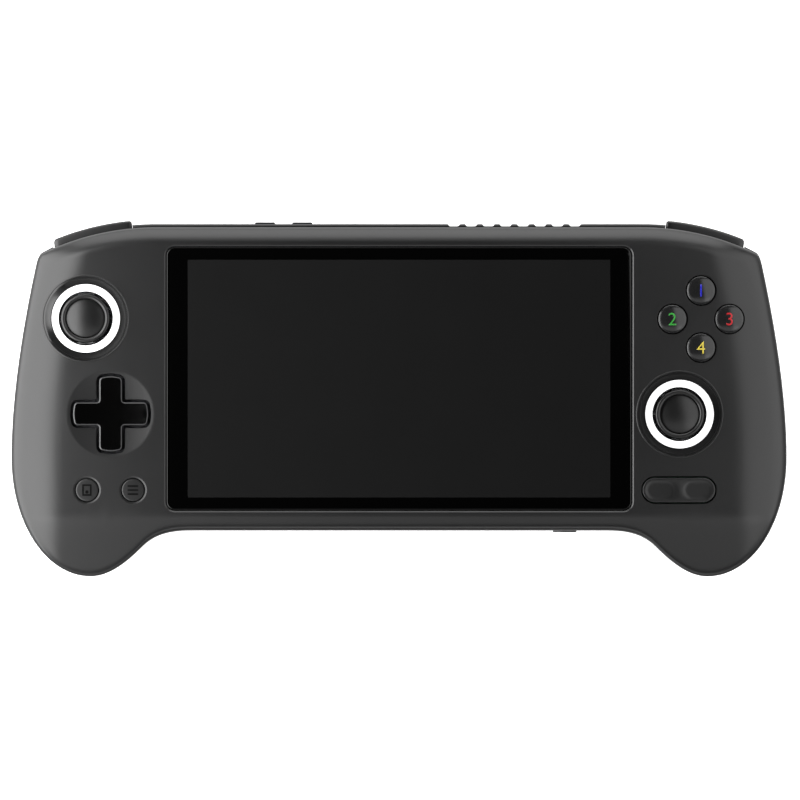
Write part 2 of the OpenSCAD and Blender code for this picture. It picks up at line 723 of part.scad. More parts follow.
module stick_cap() {
  r = cap_d / 2;
  top = z_cap - z_pivot;
  low = dome_r * cos(dome_edge);
  dish_r = 5.2;
  dish_top = top - 0.4;
  dish_depth = 0.8;
  dish_ball = (dish_r * dish_r + dish_depth * dish_depth) / (2 * dish_depth);
  difference() {
    union() {
      intersection() {
        sphere(dome_r);
        disc(dome_r, low, dome_r + 1);
      }
      disc(neck_r, low, top - cap_t + eps);
      rotate_extrude() polygon([
        [0, top - cap_t], [r - 0.9, top - cap_t], [r - 0.25, top - 0.55 * cap_t - 0.2],
        [r, top - 0.55 * cap_t + 0.2], [r - 0.25, top - 0.3], [r - 0.6, top], [r - 1, top],
        [r - 1.4, top - 0.1], [dish_r + 0.25, dish_top], [0, dish_top]
      ]);
    }
    translate([0, 0, dish_top - dish_depth + dish_ball]) sphere(dish_ball);
    disc(lever_r + axle_fit, low - 1, top - cap_t - lever_in_cap);
  }
}
module stick_lever() {
  top = z_cap - z_pivot - cap_t - lever_in_cap;
  union() {
    disc(lever_r, -2.6, top);
    along_x(cross_r, -yoke_x + 0.1, yoke_x - 0.1);
  }
}
module stick_yoke() {
  difference() {
    union() {
      box(-yoke_x, yoke_x, -yoke_y, yoke_y, -yoke_half_h, yoke_half_h);
      along_y(axle_r, -carrier_in - carrier_t + 0.1, carrier_in + carrier_t - 0.1);
    }
    box(-yoke_x + yoke_wall, yoke_x - yoke_wall, -yoke_y + yoke_wall, yoke_y - yoke_wall, -3, 3);
    along_x(cross_r + axle_fit, -yoke_x - 1, yoke_x + 1);
  }
}
module stick_arch() {
  difference() {
    union() {
      intersection() {
        rotate([90, 0, 0]) translate([0, 0, -arch_half]) tube_ring(arch_inner, arch_outer, 0, 2 * arch_half);
        box(-9, 9, -5, 5, -1.2, 9);
      }
      for (s = [-1, 1]) along_x(axle_r, min(s * arch_inner, s * (housing_in + housing_wall)),
        max(s * arch_inner, s * (housing_in + housing_wall)));
    }
    for (s = [-1, 1]) box(min(s * arch_inner, 0), max(s * arch_inner, 0), -5, 5, -2, 3);
    box(-3.9, 3.9, -lever_r - slot_gap, lever_r + slot_gap, 3, 9);
  }
}
module stick_carrier() {
  y1 = carrier_in + carrier_t;
  difference() {
    union() {
      box(-carrier_half, carrier_half, -y1, y1, -carrier_floor, -carrier_floor + 0.8);
      for (y = [-y1, carrier_in])
        box(-carrier_half, carrier_half, y, y + carrier_t, -carrier_floor, 1.9);
    }
    along_y(axle_r + axle_fit, -y1 - 1, y1 + 1);
  }
}
module stick_housing() {
  outer = housing_in + housing_wall;
  difference() {
    union() {
      box(-outer, outer, -outer, outer, -housing_floor, housing_top);
      for (x = [-1, 1], y = [-1, 1]) translate([x * (outer - pillar / 2), y * (outer - pillar / 2)])
        box(-pillar / 2, pillar / 2, -pillar / 2, pillar / 2, housing_top - eps, z_board - board_t - z_pivot);
    }
    box(-housing_in, housing_in, -housing_in, housing_in, -housing_floor + 1, housing_top + 1);
    along_x(axle_r + axle_fit, -outer - 1, outer + 1);
  }
}
module left_stick_cap() { color("#2b2b2c") at_pivot(left_stick) stick_cap(); }
module right_stick_cap() { color("#2b2b2c") at_pivot(right_stick) stick_cap(); }
module left_stick_lever() { color("silver") at_pivot(left_stick) stick_lever(); }
module right_stick_lever() { color("silver") at_pivot(right_stick) stick_lever(); }
module left_stick_yoke() { color("#404448") at_pivot(left_stick) stick_yoke(); }
module right_stick_yoke() { color("#404448") at_pivot(right_stick) stick_yoke(); }
module left_stick_arch() { color("#50545a") at_pivot(left_stick) stick_arch(); }
module right_stick_arch() { color("#50545a") at_pivot(right_stick) stick_arch(); }
module left_stick_carrier() { color("#9a9da2") at_pivot(left_stick) stick_carrier(); }
module right_stick_carrier() { color("#9a9da2") at_pivot(right_stick) stick_carrier(); }
module left_stick_housing() { color("#b0b4b8") at_pivot(left_stick) stick_housing(); }
module right_stick_housing() { color("#b0b4b8") at_pivot(right_stick) stick_housing(); }

// Four-way pad on its ball
pad_flange_r = 12.2;
pad_flange_t = 1;
z_pad_flange = z_ceil - 2;
ball_r = 1.2;
ball_fit = 0.3;
z_ball = z_board + ball_r + ball_fit;
mat_t = 0.6;
module four_way_pad() {
  top = z_face + pad_rise;
  dish = 0.7;
  dish_ball = (pow(pad_span / 2, 2) + dish * dish) / (2 * dish);
  color("#161617") translate(pad_at) difference() {
    union() {
      disc(pad_flange_r, z_pad_flange, z_pad_flange + pad_flange_t);
      translate([0, 0, z_pad_flange + pad_flange_t - eps])
        linear_extrude(top - z_pad_flange - pad_flange_t) cross(pad_span, pad_arm, pad_corner);
    }
    translate([0, 0, top - dish + dish_ball]) sphere(dish_ball);
    translate([0, 0, z_ball]) sphere(ball_r + ball_fit);
  }
}
module pad_pivot() {
  color("silver") translate([pad_at.x, pad_at.y, z_ball]) sphere(ball_r);
}
module pad_mat() {
  color("#5b5b5f") translate(pad_at) difference() {
    union() {
      disc(pad_flange_r, z_board, z_board + mat_t);
      for (a = [0:90:270]) rotate([0, 0, a]) translate([7.8, 0]) disc(2.6, z_board, z_board + mat_t + 0.3);
    }
    disc(ball_r + 1, z_board - 1, z_board + 3);
  }
}

// Round buttons
z_flange = z_ceil - seat_gap;
flange_t = 1;
face_flange_r = 4.9;
small_flange_r = 4.2;
module domed_button(r, top, crown, flange_r) {
  ball = (r * r + crown * crown) / (2 * crown);
  union() {
    disc(flange_r, z_flange - flange_t, z_flange);
    intersection() {
      disc(r, z_flange - eps, top);
      translate([0, 0, top - ball]) sphere(ball);
    }
  }
}
module face_button(i) {
  color("#232324") translate(face_at + face_pitch * [cos(face_turns[i]), sin(face_turns[i])])
    domed_button(face_d / 2, z_face + face_rise, 0.7, face_flange_r);
}
module face_button_top() { face_button(0); }
module face_button_left() { face_button(1); }
module face_button_right() { face_button(2); }
module face_button_bottom() { face_button(3); }
mat_side = 30;
module face_mat() {
  dome_top = z_flange - flange_t - face_travel - 0.3;
  color("#5b5b5f") translate(face_at) union() {
    rotate([0, 0, 45]) rounded_plate(mat_side * 0.8, mat_side * 0.8, 4, z_board, z_board + mat_t);
    for (a = face_turns) translate(face_pitch * [cos(a), sin(a)]) disc(3, z_board, dome_top);
  }
}
module outer_small_button() {
  color("#2a2a2b") translate(outer_small_at)
    domed_button(small_d / 2, z_face + small_rise, 0.2, small_flange_r);
}
module inner_small_button() {
  color("#2a2a2b") translate(inner_small_at)
    domed_button(small_d / 2, z_face + small_rise, 0.2, small_flange_r);
}

// Long button that rocks on a rib under its middle
long_flange = 0.9;
z_long_flange = z_ceil - 1.5;
rib_r = 1;
z_rib = z_board + rib_r + face_gap;
long_dish_w = 8.8;
long_dish_h = 5.5;
long_dish_x = 5.4;
module long_button() {
  top = z_face + small_rise;
  color("#2a2a2b") translate(long_at) difference() {
    union() {
      stadium_plate(long_w, long_h, z_long_flange, top);
      stadium_plate(long_w + 2 * long_flange, long_h + 2 * long_flange, z_long_flange, z_long_flange + 0.8);
      translate([0, 0, z_rib]) along_y(rib_r, -long_h / 2, long_h / 2);
      box(-rib_r, rib_r, -long_h / 2, long_h / 2, z_rib, z_long_flange + eps);
    }
    for (s = [-1, 1]) translate([s * long_dish_x, 0])
      stadium_plate(long_dish_w, long_dish_h, top - 0.3, top + 1);
  }
}

// Bumpers, triggers and what carries them
module bumper() {
  neck = bumper_half - neck_turn;
  at_shoulder() difference() {
    union() {
      bumper_sector(shoulder_r - bumper_inner, crest_r, 0, bumper_reach, z_bumper_low, z_bumper);
      translate(bumper_pivot) disc(bumper_boss_r, z_bumper_low + boss_rise, z_bumper);
      translate([0, 0, z_bumper_low + boss_rise]) linear_extrude(bumper_h - boss_rise) polygon([
        bumper_pivot + [0, bumper_boss_r - neck_front], bumper_pivot - [0, bumper_boss_r - neck_back],
        (shoulder_r - bumper_inner + neck_back) * [-sin(neck), cos(neck)],
        (shoulder_r - neck_front) * [-sin(neck), cos(neck)]
      ]);
    }
    translate(bumper_pivot) disc(pin_r + pin_fit, z_bumper_low - 1, z_bumper + 1);
    rotate([0, 0, -crest_end]) translate([0, crest_r, z_bumper_low - 1]) rotate([0, 0, 45])
      linear_extrude(bumper_h + 2) square(end_cut * sqrt(2), center = true);
  }
}
hub_r = 2.2;
spring_room = 3.6;
trigger_tip_r = shoulder_r - 3;
claw_outer = [
  [shoulder_r + 1.9, z_trigger], [shoulder_r + 3.4, lerp(trigger_tip, z_trigger, 0.45)],
  [shoulder_r + 0.5, trigger_tip], [trigger_tip_r, trigger_tip]
];
claw_inner = [
  [trigger_tip_r - 0.9, trigger_tip + 0.8], [shoulder_r - 1.8, lerp(trigger_tip, z_trigger, 0.5)],
  [trigger_r + apron_r * cos(45) + 1.4, z_trigger_pin - apron_r * sin(45) - 1.4],
  [trigger_r + apron_r * cos(45), z_trigger_pin - apron_r * sin(45)]
];
claw_profile = concat(
  [claw_outer[0]], bezier_run(claw_outer, 8), [claw_inner[0]], bezier_run(claw_inner, 6),
  [for (a = [55:7:83]) [trigger_r + apron_r * cos(a), z_trigger_pin - apron_r * sin(a)]],
  [[trigger_r, z_trigger_pin], [trigger_r + 1, z_trigger_pin + hub_r - 0.3], [shoulder_r - 4, z_trigger]]
);
module across(half_from, half_to) {
  translate([half_from, 0, 0]) rotate([90, 0, 90]) linear_extrude(half_to - half_from) children();
}
module trigger() {
  at_shoulder() difference() {
    intersection() {
      union() {
        across(-trigger_half, trigger_half) polygon(claw_profile);
        translate([0, trigger_r, z_trigger_pin]) along_x(hub_r, -trigger_half + spring_room, trigger_half);
      }
      disc(crest_r - 0.25, -1, z_face);
    }
    translate([0, trigger_r, z_trigger_pin]) {
      along_x(pin_r + pin_fit, -trigger_half - 1, trigger_half + 1);
      along_x(hub_r + 0.9, -trigger_half - 1, -trigger_half + spring_room + eps);
    }
  }
}
module trigger_pin() {
  at_shoulder() translate([0, trigger_r, z_trigger_pin]) along_x(pin_r, -bracket_half, bracket_half);
}
plate_t = 1.2;
plate_front = 4.5;
module cheek() {
  box(bracket_half - cheek_t, bracket_half, trigger_r - cheek_back, trigger_r + cheek_front,
    z_trigger_pin - cheek_low, z_bumper - 0.4);
}
module shoulder_bracket() {
  z1 = z_bumper - 0.4;
  at_shoulder() difference() {
    union() {
      box(-bracket_half, bracket_half, trigger_r - cheek_back, trigger_r + plate_front, z1 - plate_t, z1);
      both_sides() cheek();
      box(2.5, 9.5, trigger_r + plate_front - 1, trigger_r + plate_front, z_trigger_pin + 0.4, z1);
    }
    translate([0, trigger_r, z_trigger_pin])
      along_x(pin_r + pin_fit, -bracket_half - 1, bracket_half + 1);
    translate(bumper_pivot) disc(bumper_boss_r + pivot_boss_gap, z_bumper_low, z_part);
  }
}

// Torsion spring round the trigger pin, one unbroken wire swept along a helix with two legs
wire_r = 0.3;
coil_r = 1.85;
coil_turns = 3;
coil_pitch = 0.8;
spring_leg = 1.9;
function spring_point(t) = [
  -trigger_half + 0.75 + coil_pitch * t / 360,
  trigger_r + coil_r * cos(t), z_trigger_pin + coil_r * sin(t)
];
spring_end = spring_point(coil_turns * 360);
spring_path = concat(
  [spring_point(0) + [0, 0, -spring_leg]], [for (i = [0:coil_turns * 12]) spring_point(i * 30)],
  [spring_end + [0, 0, spring_leg]]
);
function unit(v) = v / norm(v);
function way(path, i) = unit(path[min(i + 1, len(path) - 1)] - path[max(i - 1, 0)]);
function tube_ring_at(path, i, r, sides) = let (
    d = way(path, i), u = unit(cross([1, 0.2, 0.1], d)), v = cross(d, u)
  ) [for (k = [0:sides - 1]) path[i] + r * (cos(360 * k / sides) * u + sin(360 * k / sides) * v)];
module trigger_spring() {
  at_shoulder() loft([for (i = [0:len(spring_path) - 1]) tube_ring_at(spring_path, i, wire_r, 6)]);
}
module right_bumper() { color("#303032") bumper(); }
module left_bumper() { color("#303032") on_left() bumper(); }
module right_trigger() { color("#303032") trigger(); }
module left_trigger() { color("#303032") on_left() trigger(); }
module right_trigger_pin() { color("silver") trigger_pin(); }
module left_trigger_pin() { color("silver") on_left() trigger_pin(); }
module right_trigger_spring() { color("silver") trigger_spring(); }
module left_trigger_spring() { color("silver") on_left() trigger_spring(); }
module right_shoulder_bracket() { color("#46484c") shoulder_bracket(); }
module left_shoulder_bracket() { color("#46484c") on_left() shoulder_bracket(); }

// Keys in the top edge and the board behind them
key_flange = 0.8;
y_key_flange = y_top - 4.6;
key_flange_t = 0.8;
key_stroke = 0.5;
key_room = 1;
y_key_board = y_key_flange - key_room;
key_board_t = 1;
volume_end = 5.8;
volume_proud = 0.5;
module top_key(w, y_end) {
  box(-w / 2, w / 2, y_key_flange, y_end, z_key - key_h / 2, z_key + key_h / 2);
  box(-w / 2 - key_flange, w / 2 + key_flange, y_key_flange, y_key_flange + key_flange_t,
    z_key - key_h / 2 - 0.5, z_key + key_h / 2 + 0.5);
}
module volume_rocker() {
  y0 = y_top + rear_step;
  color("#2e2e30") translate([-top_key_x, 0]) union() {
    top_key(volume_w, y0);
    for (s = [-1, 1]) translate([s * (volume_w - volume_end) / 2, 0])
      box(-volume_end / 2, volume_end / 2, y0 - eps, y0 + volume_proud, z_key - key_h / 2, z_key + key_h / 2);
  }
}
module power_key() {
  color("#2e2e30") translate([-power_x, 0]) top_key(power_w, y_top + rear_step - 0.1);
}
module top_key_board() {
  color("#1d5a3a") box(-power_x - 6, -top_key_x + volume_w / 2 + 1.5,
    y_key_board - key_board_t, y_key_board, z_key - 2.4, z_key + 2.4);
}

// Small switches: a body and a plunger each
bumper_stroke = 1.7;
bumper_tact_x = 6;
bumper_tact_up = 2.4;
bumper_tact_side = 3;
long_tact_x = 6.6;
key_tact_x = 6.2;
key_tact_side = 2.6;
plunger = 0.3;
module tact(height, side = 3.4) {
  translate([-side / 2, -side / 2, 0]) cube([side, side, height - plunger]);
  cylinder(r = side / 4, h = height);
}
module tact_switches() {
  color("#c8c8c8") {
    small_room = z_flange - flange_t - small_travel - seat_gap - z_board;
    for (c = [outer_small_at, inner_small_at]) translate([c.x, c.y, z_board]) tact(small_room);
    for (s = [-1, 1]) translate([long_at.x + s * long_tact_x, long_at.y, z_board])
      tact(z_long_flange - z_board - 0.7);
    both_sides() at_shoulder()
      translate([bumper_tact_x, trigger_r + plate_front, z_trigger_pin + bumper_tact_up])
        rotate([-90, 0, 0])
          tact(shoulder_r - bumper_inner - trigger_r - plate_front - bumper_stroke, bumper_tact_side);
    for (x = [-top_key_x - key_tact_x, -top_key_x + key_tact_x, -power_x])
      translate([x, y_key_board, z_key]) rotate([-90, 0, 0]) tact(key_room - key_stroke, key_tact_side);
  }
}

// Boards
board_edge = front_wall + 1.2;
module board_field() {
  polygon([for (p = front_outline) inset(p, board_edge)]);
}
module control_board(inner_x) {
  translate([0, 0, z_board - board_t]) linear_extrude(board_t) difference() {
    intersection() {
      board_field();
      translate([inner_x, y_bot + 5]) square([half_w - inner_x, y_top - 16 - y_bot - 5]);
    }
    for (c = screw_places) translate(c) circle(front_boss_r + 0.5);
    children();
  }
}
board_in = 43.5;
stick_hole_r = 8.7;
module right_control_board() {
  color("#1d5a3a") control_board(half_w - board_in) translate(right_stick) circle(stick_hole_r);
}
module left_control_board() {
  color("#1d5a3a") on_left() control_board(half_w - board_in)
    translate([-left_stick.x, left_stick.y]) circle(stick_hole_r);
}
board_gap = 5;
main_half = half_w - board_in - board_gap;
battery_left = 17;
battery_right = 25;
battery_up = 8;
battery_down = 38.2;
battery_x0 = battery_left - main_half;
battery_x1 = main_half - battery_right;
battery_y0 = y_bot + battery_up;
battery_y1 = y_top - battery_down;
battery_gap = 1;
chip_down = 22;
chip_side = 15;
chip_t = 1.6;
memory_w = 11;
memory_h = 13;
memory_t = 1;
module main_board() {
  y0 = y_bot + front_wall + 0.5;
  y1 = y_top - 5.2;
  color("#1d5a3a") union() {
    translate([0, 0, z_board - board_t]) linear_extrude(board_t) difference() {
      translate([-main_half, y0]) square([2 * main_half, y1 - y0]);
      translate([battery_x0 - battery_gap, battery_y0 - battery_gap])
        square([battery_x1 - battery_x0 + 2 * battery_gap, battery_y1 - battery_y0 + 2 * battery_gap]);
    }
    translate([0, y_top - chip_down, z_board - board_t]) {
      translate([-0.286 * main_half, 0]) rounded_plate(chip_side, chip_side, 1, -chip_t, eps);
      for (share = [-0.635, -0.0635]) translate([share * main_half, 0])
        rounded_plate(memory_w, memory_h, 1, -memory_t, eps);
    }
  }
}
ribbon_t = 0.2;
ribbon_w = 7;
ribbon_lap = 3.5;
ribbon_y = y_top - 0.4897 * body_h;
module ribbon_cables() {
  color("#b5651d") both_sides() box(main_half - ribbon_lap, half_w - board_in + ribbon_lap,
    ribbon_y - ribbon_w / 2, ribbon_y + ribbon_w / 2, z_board, z_board + ribbon_t);
}
module battery() {
  color("#3f4a5a") translate([(battery_x0 + battery_x1) / 2, (battery_y0 + battery_y1) / 2])
    rounded_plate(battery_x1 - battery_x0, battery_y1 - battery_y0, 2, z_floor, z_board + 1.4);
}

// Fan that draws through the back and blows out of the vents
fan_r = 11;
fan_side = 34;
fan_gap = 0.3;
z_fan = z_floor + fan_gap;
z_fan_top = z_board - board_t - 0.5;
fan_shaft_r = 0.8;
fan_wall = 0.8;
fan_rim = 1.2;
fan_lip = 1.5;
fan_front = 13.5;
fan_back = 13;
fan_hub_r = 4.6;
blade_w = 6.8;
blade_t = 0.6;
blade_lean = 28;
fin_t = 0.6;
fin_top = 0.8;
module fan_housing() {
  color("#3a3c40") translate(fan_at) union() {
    difference() {
      box(-fan_side / 2, fan_side / 2, -fan_front, fan_back, z_fan, z_fan_top);
      box(-fan_side / 2 + fan_rim, fan_side / 2 - fan_rim, fan_rim - fan_front, fan_back + 1,
        z_fan + fan_wall, z_fan_top - fan_wall);
      disc(fan_r - fan_lip, z_fan - 1, z_fan + fan_wall + 1);
    }
    disc(fan_shaft_r, z_fan + fan_wall + 1.2, z_fan_top - fan_wall + eps);
  }
}
blade_count = 15;
module fan_rotor() {
  z0 = z_fan + fan_wall + 0.6;
  z1 = z_fan_top - fan_wall - 0.5;
  color("#202124") translate(fan_at) difference() {
    union() {
      disc(fan_hub_r, z0, z1);
      tube_ring(fan_hub_r - 0.2, fan_r, z1 - blade_t, z1);
      for (i = [0:blade_count - 1]) rotate([0, 0, 360 * i / blade_count])
        translate([fan_hub_r - 0.4, 0]) rotate([0, 0, blade_lean])
          box(0, blade_w, -blade_t / 2, blade_t / 2, z0, z1 - blade_t / 2);
    }
    disc(fan_shaft_r + axle_fit, z0 + 0.5, z1 + 1);
  }
}
fin_count = 14;
fin_in = 4.8;
module fin_stack() {
  y0 = fan_at.y + fan_back + fan_gap;
  y1 = y_top - fin_in;
  color("#b58a62") translate([fan_at.x, 0]) union() {
    box(-fan_side / 2 + fin_t, fan_side / 2 - fin_t, y0, y1, z_fan_top - fin_top, z_fan_top);
    for (i = [0:fin_count - 1]) translate([(i / (fin_count - 1) - 0.5) * (fan_side - 3 * fin_t), 0])
      box(-fin_t / 2, fin_t / 2, y0, y1, z_fan + fin_top, z_fan_top - fin_top / 2);
  }
}

// Ports on the bottom edge
module charging_port() {
  color("silver") union() {
    translate([0, y_bot + 7.4, z_usb]) rotate([90, 0, 0]) difference() {
      linear_extrude(7.3) stadium(usb_w, usb_h);
      translate([0, 0, 0.8]) linear_extrude(8) difference() {
        stadium(usb_w - 0.6, usb_h - 0.6);
        square([6.6, 0.7], center = true);
      }
    }
    for (x = [-1, 1], y = [3.6, 6.4]) translate([x * (usb_w / 2 - 1), y_bot + y])
      box(-0.5, 0.5, -0.6, 0.6, z_usb + usb_h / 2 - 0.2, z_board - board_t);
  }
}
module headphone_jack() {
  color("#1b1b1d") translate([jack_x, 0]) difference() {
    union() {
      translate([0, 0, z_jack]) along_y(jack_d / 2, y_bot - jack_proud, y_bot + 2.2);
      translate([0, 0, z_jack]) along_y(jack_body_r, y_bot + 2, y_bot + jack_depth + 0.6);
      box(-jack_body_r, jack_body_r, y_bot + 2.8, y_bot + jack_depth + 0.6, z_jack, z_board - board_t);
    }
    translate([0, 0, z_jack]) along_y(jack_bore / 2, y_bot - jack_proud - 1, y_bot + jack_depth - jack_proud);
  }
}
module card_socket() {
  color("silver") translate([-card_x, 0]) difference() {
    box(-7, 7, y_bot + 3, y_bot + 16, z_card - 1.1, z_board - board_t);
    box(-5.7, 5.7, y_bot + 2, y_bot + 15, z_card - 0.55, z_card + 0.55);
  }
}

// Speakers in the grips, vibration motor under the right board
speaker_w = 13;
speaker_h = 8;
module speaker() {
  translate([speaker_at.x, speaker_at.y, z_part - 8.5]) difference() {
    rounded_plate(speaker_w, speaker_h, 2, 0, 7);
    translate([0, -speaker_h / 2 - 1, 4]) along_y(2.4, 0, 2.2);
  }
}
module right_speaker() { color("#1f2022") speaker(); }
module left_speaker() { color("#1f2022") on_left() speaker(); }
motor_at = [half_w - 14, y_tip + 24];
module vibration_motor() {
  color("silver") translate(motor_at) union() {
    disc(5, z_board - board_t - 2.8, z_board - board_t);
    disc(1, z_board - board_t - 3.1, z_board - board_t - 2.7);
  }
}

front_shell();
rear_shell();
screen_glass();
display_panel();
left_light_ring();
left_stick_cap();
left_stick_lever();
left_stick_yoke();
left_stick_arch();
left_stick_carrier();
left_stick_housing();
right_light_ring();
right_stick_cap();
right_stick_lever();
right_stick_yoke();
right_stick_arch();
right_stick_carrier();
right_stick_housing();
four_way_pad();
pad_pivot();
pad_mat();
face_button_top();
face_button_left();
face_button_right();
face_button_bottom();
face_mat();
outer_small_button();
inner_small_button();
long_button();
tact_switches();
left_bumper();
left_trigger();
left_trigger_pin();
left_trigger_spring();
left_shoulder_bracket();
right_bumper();
right_trigger();
right_trigger_pin();
right_trigger_spring();
right_shoulder_bracket();
volume_rocker();
power_key();
top_key_board();
main_board();
left_control_board();
right_control_board();
ribbon_cables();
battery();
fan_housing();
fan_rotor();
fin_stack();
charging_port();
headphone_jack();
card_socket();
left_speaker();
right_speaker();
vibration_motor();
case_screws();
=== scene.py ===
import json
import math

import bmesh
import bpy
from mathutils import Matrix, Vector
from mathutils.bvhtree import BVHTree
from mathutils.interpolate import poly_3d_calc


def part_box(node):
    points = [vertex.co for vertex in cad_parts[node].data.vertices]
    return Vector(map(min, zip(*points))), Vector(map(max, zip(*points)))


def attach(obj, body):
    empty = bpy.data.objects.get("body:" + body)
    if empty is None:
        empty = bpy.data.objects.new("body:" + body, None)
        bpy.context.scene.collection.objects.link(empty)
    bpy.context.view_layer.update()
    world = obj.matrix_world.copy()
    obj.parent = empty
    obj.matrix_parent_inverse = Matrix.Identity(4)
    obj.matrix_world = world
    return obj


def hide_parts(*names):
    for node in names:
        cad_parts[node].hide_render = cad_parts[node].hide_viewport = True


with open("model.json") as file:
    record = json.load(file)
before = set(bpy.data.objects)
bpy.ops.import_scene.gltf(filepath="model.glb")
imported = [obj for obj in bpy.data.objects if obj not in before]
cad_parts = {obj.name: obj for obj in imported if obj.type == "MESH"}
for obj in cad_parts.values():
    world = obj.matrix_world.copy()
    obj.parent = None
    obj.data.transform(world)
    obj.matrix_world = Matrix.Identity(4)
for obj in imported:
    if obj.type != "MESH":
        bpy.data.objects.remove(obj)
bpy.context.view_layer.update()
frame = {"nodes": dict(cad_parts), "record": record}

# Metres and degrees. Sizes repeat the part's driving dimensions; places come from the frame.
MM = 0.001
front_low, front_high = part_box("front_shell")
HALF_W = front_high.x
Y_TOP = front_high.y
Y_TIP = front_low.y
Z_FACE = front_high.z
Z_PART = front_low.z
GRIP_DROP = 13.2 * MM
Y_BOT = Y_TIP + GRIP_DROP
FRONT_WALL = 2.2 * MM
REAR_WALL = 2 * MM
Z_CEIL = Z_FACE - FRONT_WALL
Z_BACK = 10.5 * MM
REAR_STEP = 1 * MM
SHOULDER_R = 75 * MM
SHOULDER_X = HALF_W - 41.5 * MM
SHOULDER_Y = Y_TOP - SHOULDER_R
SHOULDER_END = 25.8
BUMPER_MID = 13.85
BUMPER_HALF = 8.65
FRONT_EDGE = 4.2 * MM
GRIP_EDGE = 12 * MM
BACK_EDGE = 5 * MM
PART_CHAMFER = 0.12 * MM
BRIM_R = 0.75 * MM
BEVEL_SLOPE = 0.2
BEVEL_BOW = 0.2
BEVEL_SOFT = 0.08
BEVEL_END = 0.86
EDGE_FULLNESS = 6
BUTTON_GAP = 0.38 * MM
LIP = 0.25 * MM
FACE_R = 4.05 * MM
SMALL_R = 3.15 * MM
LONG_W = 20.8 * MM
LONG_H = 7 * MM
FLANGE = 1 * MM

# Smallest step between faces that must not coincide, and how far cutters reach past a wall
HAIR = 0.01 * MM
OVER = 2 * MM


def centre_of(node):
    low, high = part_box(node)
    return (low + high) / 2


# Outline of the shells, as in the part's source but with more points
def bezier_run(p0, p1, p2, p3, count):
    points = []
    for i in range(1, count + 1):
        t = i / count
        s = 1 - t
        points.append(p0 * s ** 3 + p1 * (3 * t * s * s) + p2 * (3 * t * t * s) + p3 * t ** 3)
    return points


def shoulder_point(angle):
    a = math.radians(angle)
    return Vector((SHOULDER_X + SHOULDER_R * math.sin(a), SHOULDER_Y + SHOULDER_R * math.cos(a)))


Y_WIDE = Y_TIP + 34.2 * MM
TIP_X = HALF_W - 22.8 * MM
BOTTOM_X = HALF_W - 51.5 * MM
CORNER_TO = Vector((HALF_W - 6.9 * MM, Y_TOP - 11.7 * MM))


def half_outline():
    """Right half of the outline, from the middle of the top round the grip to the middle of the bottom."""
    end = math.radians(SHOULDER_END)
    corner_from = shoulder_point(SHOULDER_END)
    side_way = Vector((0.21, -0.978))
    inner_way = Vector((-0.707, 0.707))
    wide = Vector((HALF_W, Y_WIDE))
    tip = Vector((TIP_X, Y_TIP))
    grip_inner = Vector((HALF_W - 37.7 * MM, Y_BOT - 0.35 * GRIP_DROP))
    bottom = Vector((BOTTOM_X, Y_BOT))
    points = [Vector((SHOULDER_X * i / 20, Y_TOP)) for i in range(20)]
    points += [shoulder_point(SHOULDER_END * i / 20) for i in range(21)]
    # Curves between the named points: how far their handles reach, and their steps
    points += bezier_run(
        corner_from, corner_from + 1.3 * MM * Vector((math.cos(end), -math.sin(end))),
        CORNER_TO - 2 * MM * side_way, CORNER_TO, 8)
    points += bezier_run(
        CORNER_TO, CORNER_TO + 18 * MM * side_way, wide + Vector((0, 17 * MM)), wide, 22)
    points += bezier_run(
        wide, wide - Vector((0, 18.5 * MM)), tip + Vector((13 * MM, 0)), tip, 30)
    points += bezier_run(
        tip, tip - Vector((5.5 * MM, 0)), grip_inner - 6.2 * MM * inner_way, grip_inner, 14)
    points += bezier_run(
        grip_inner, grip_inner + 4.9 * MM * inner_way, bottom + Vector((6 * MM, 0)), bottom, 12)
    points += [Vector((BOTTOM_X * i / 16, Y_BOT)) for i in range(15, -1, -1)]
    return points


def mirrored(half):
    return half + [Vector((-p.x, p.y)) for p in reversed(half[1:-1])]


def clamp(v, low, high):
    return max(low, min(high, v))


def smooth(t):
    t = clamp(t, 0, 1)
    return t * t * (3 - 2 * t)


def lerp(a, b, t):
    return a + (b - a) * t


STEP_FADE = 12 * MM


def top_share(p):
    """How far a point of the outline belongs to the top edge, from 0 to 1."""
    return smooth((p.y - Y_TOP + STEP_FADE) / STEP_FADE)


FRONT_OUTLINE = mirrored(half_outline())
REAR_OUTLINE = mirrored([Vector((p.x, p.y + REAR_STEP * top_share(p))) for p in half_outline()])
CORE_X = HALF_W - 27.5 * MM
CORE_LOW = Y_BOT + 18 * MM
CORE_HIGH = Y_TOP - 22 * MM


def core(p):
    return Vector((clamp(p.x, -CORE_X, CORE_X), clamp(p.y, CORE_LOW, CORE_HIGH)))


def inset(p, d):
    way = core(p) - p
    return p + way * (d / way.length)


# Heights of the face and of the back
SIDE_ROLL = 14.5 * MM
SIDE_FALL = 4.2 * MM
CHIN_H = 4.5 * MM
CHIN_SLOPE = 0.26
CHIN_BLEND = 0.8 * MM
SIDE_BOW = (HALF_W - CORNER_TO.x) / (CORNER_TO.y - Y_WIDE) ** 2


def face_z(p):
    side_x = HALF_W - SIDE_BOW * max(0, p.y - Y_WIDE) ** 2
    q = max(0, (abs(p.x) - side_x) / SIDE_ROLL + 1)
    t = max(0, Y_BOT + CHIN_H - p.y)
    return Z_FACE - SIDE_FALL * q * q - CHIN_SLOPE * t * t / (t + CHIN_BLEND)


# Where the grips start and over which length they grow, first from the sides, then from the top
GRIP_SWELL = (57.5 * MM, 26 * MM, 3 * MM, 18 * MM)
GRIP_ROUND = (50 * MM, 25 * MM, 8 * MM, 16 * MM)


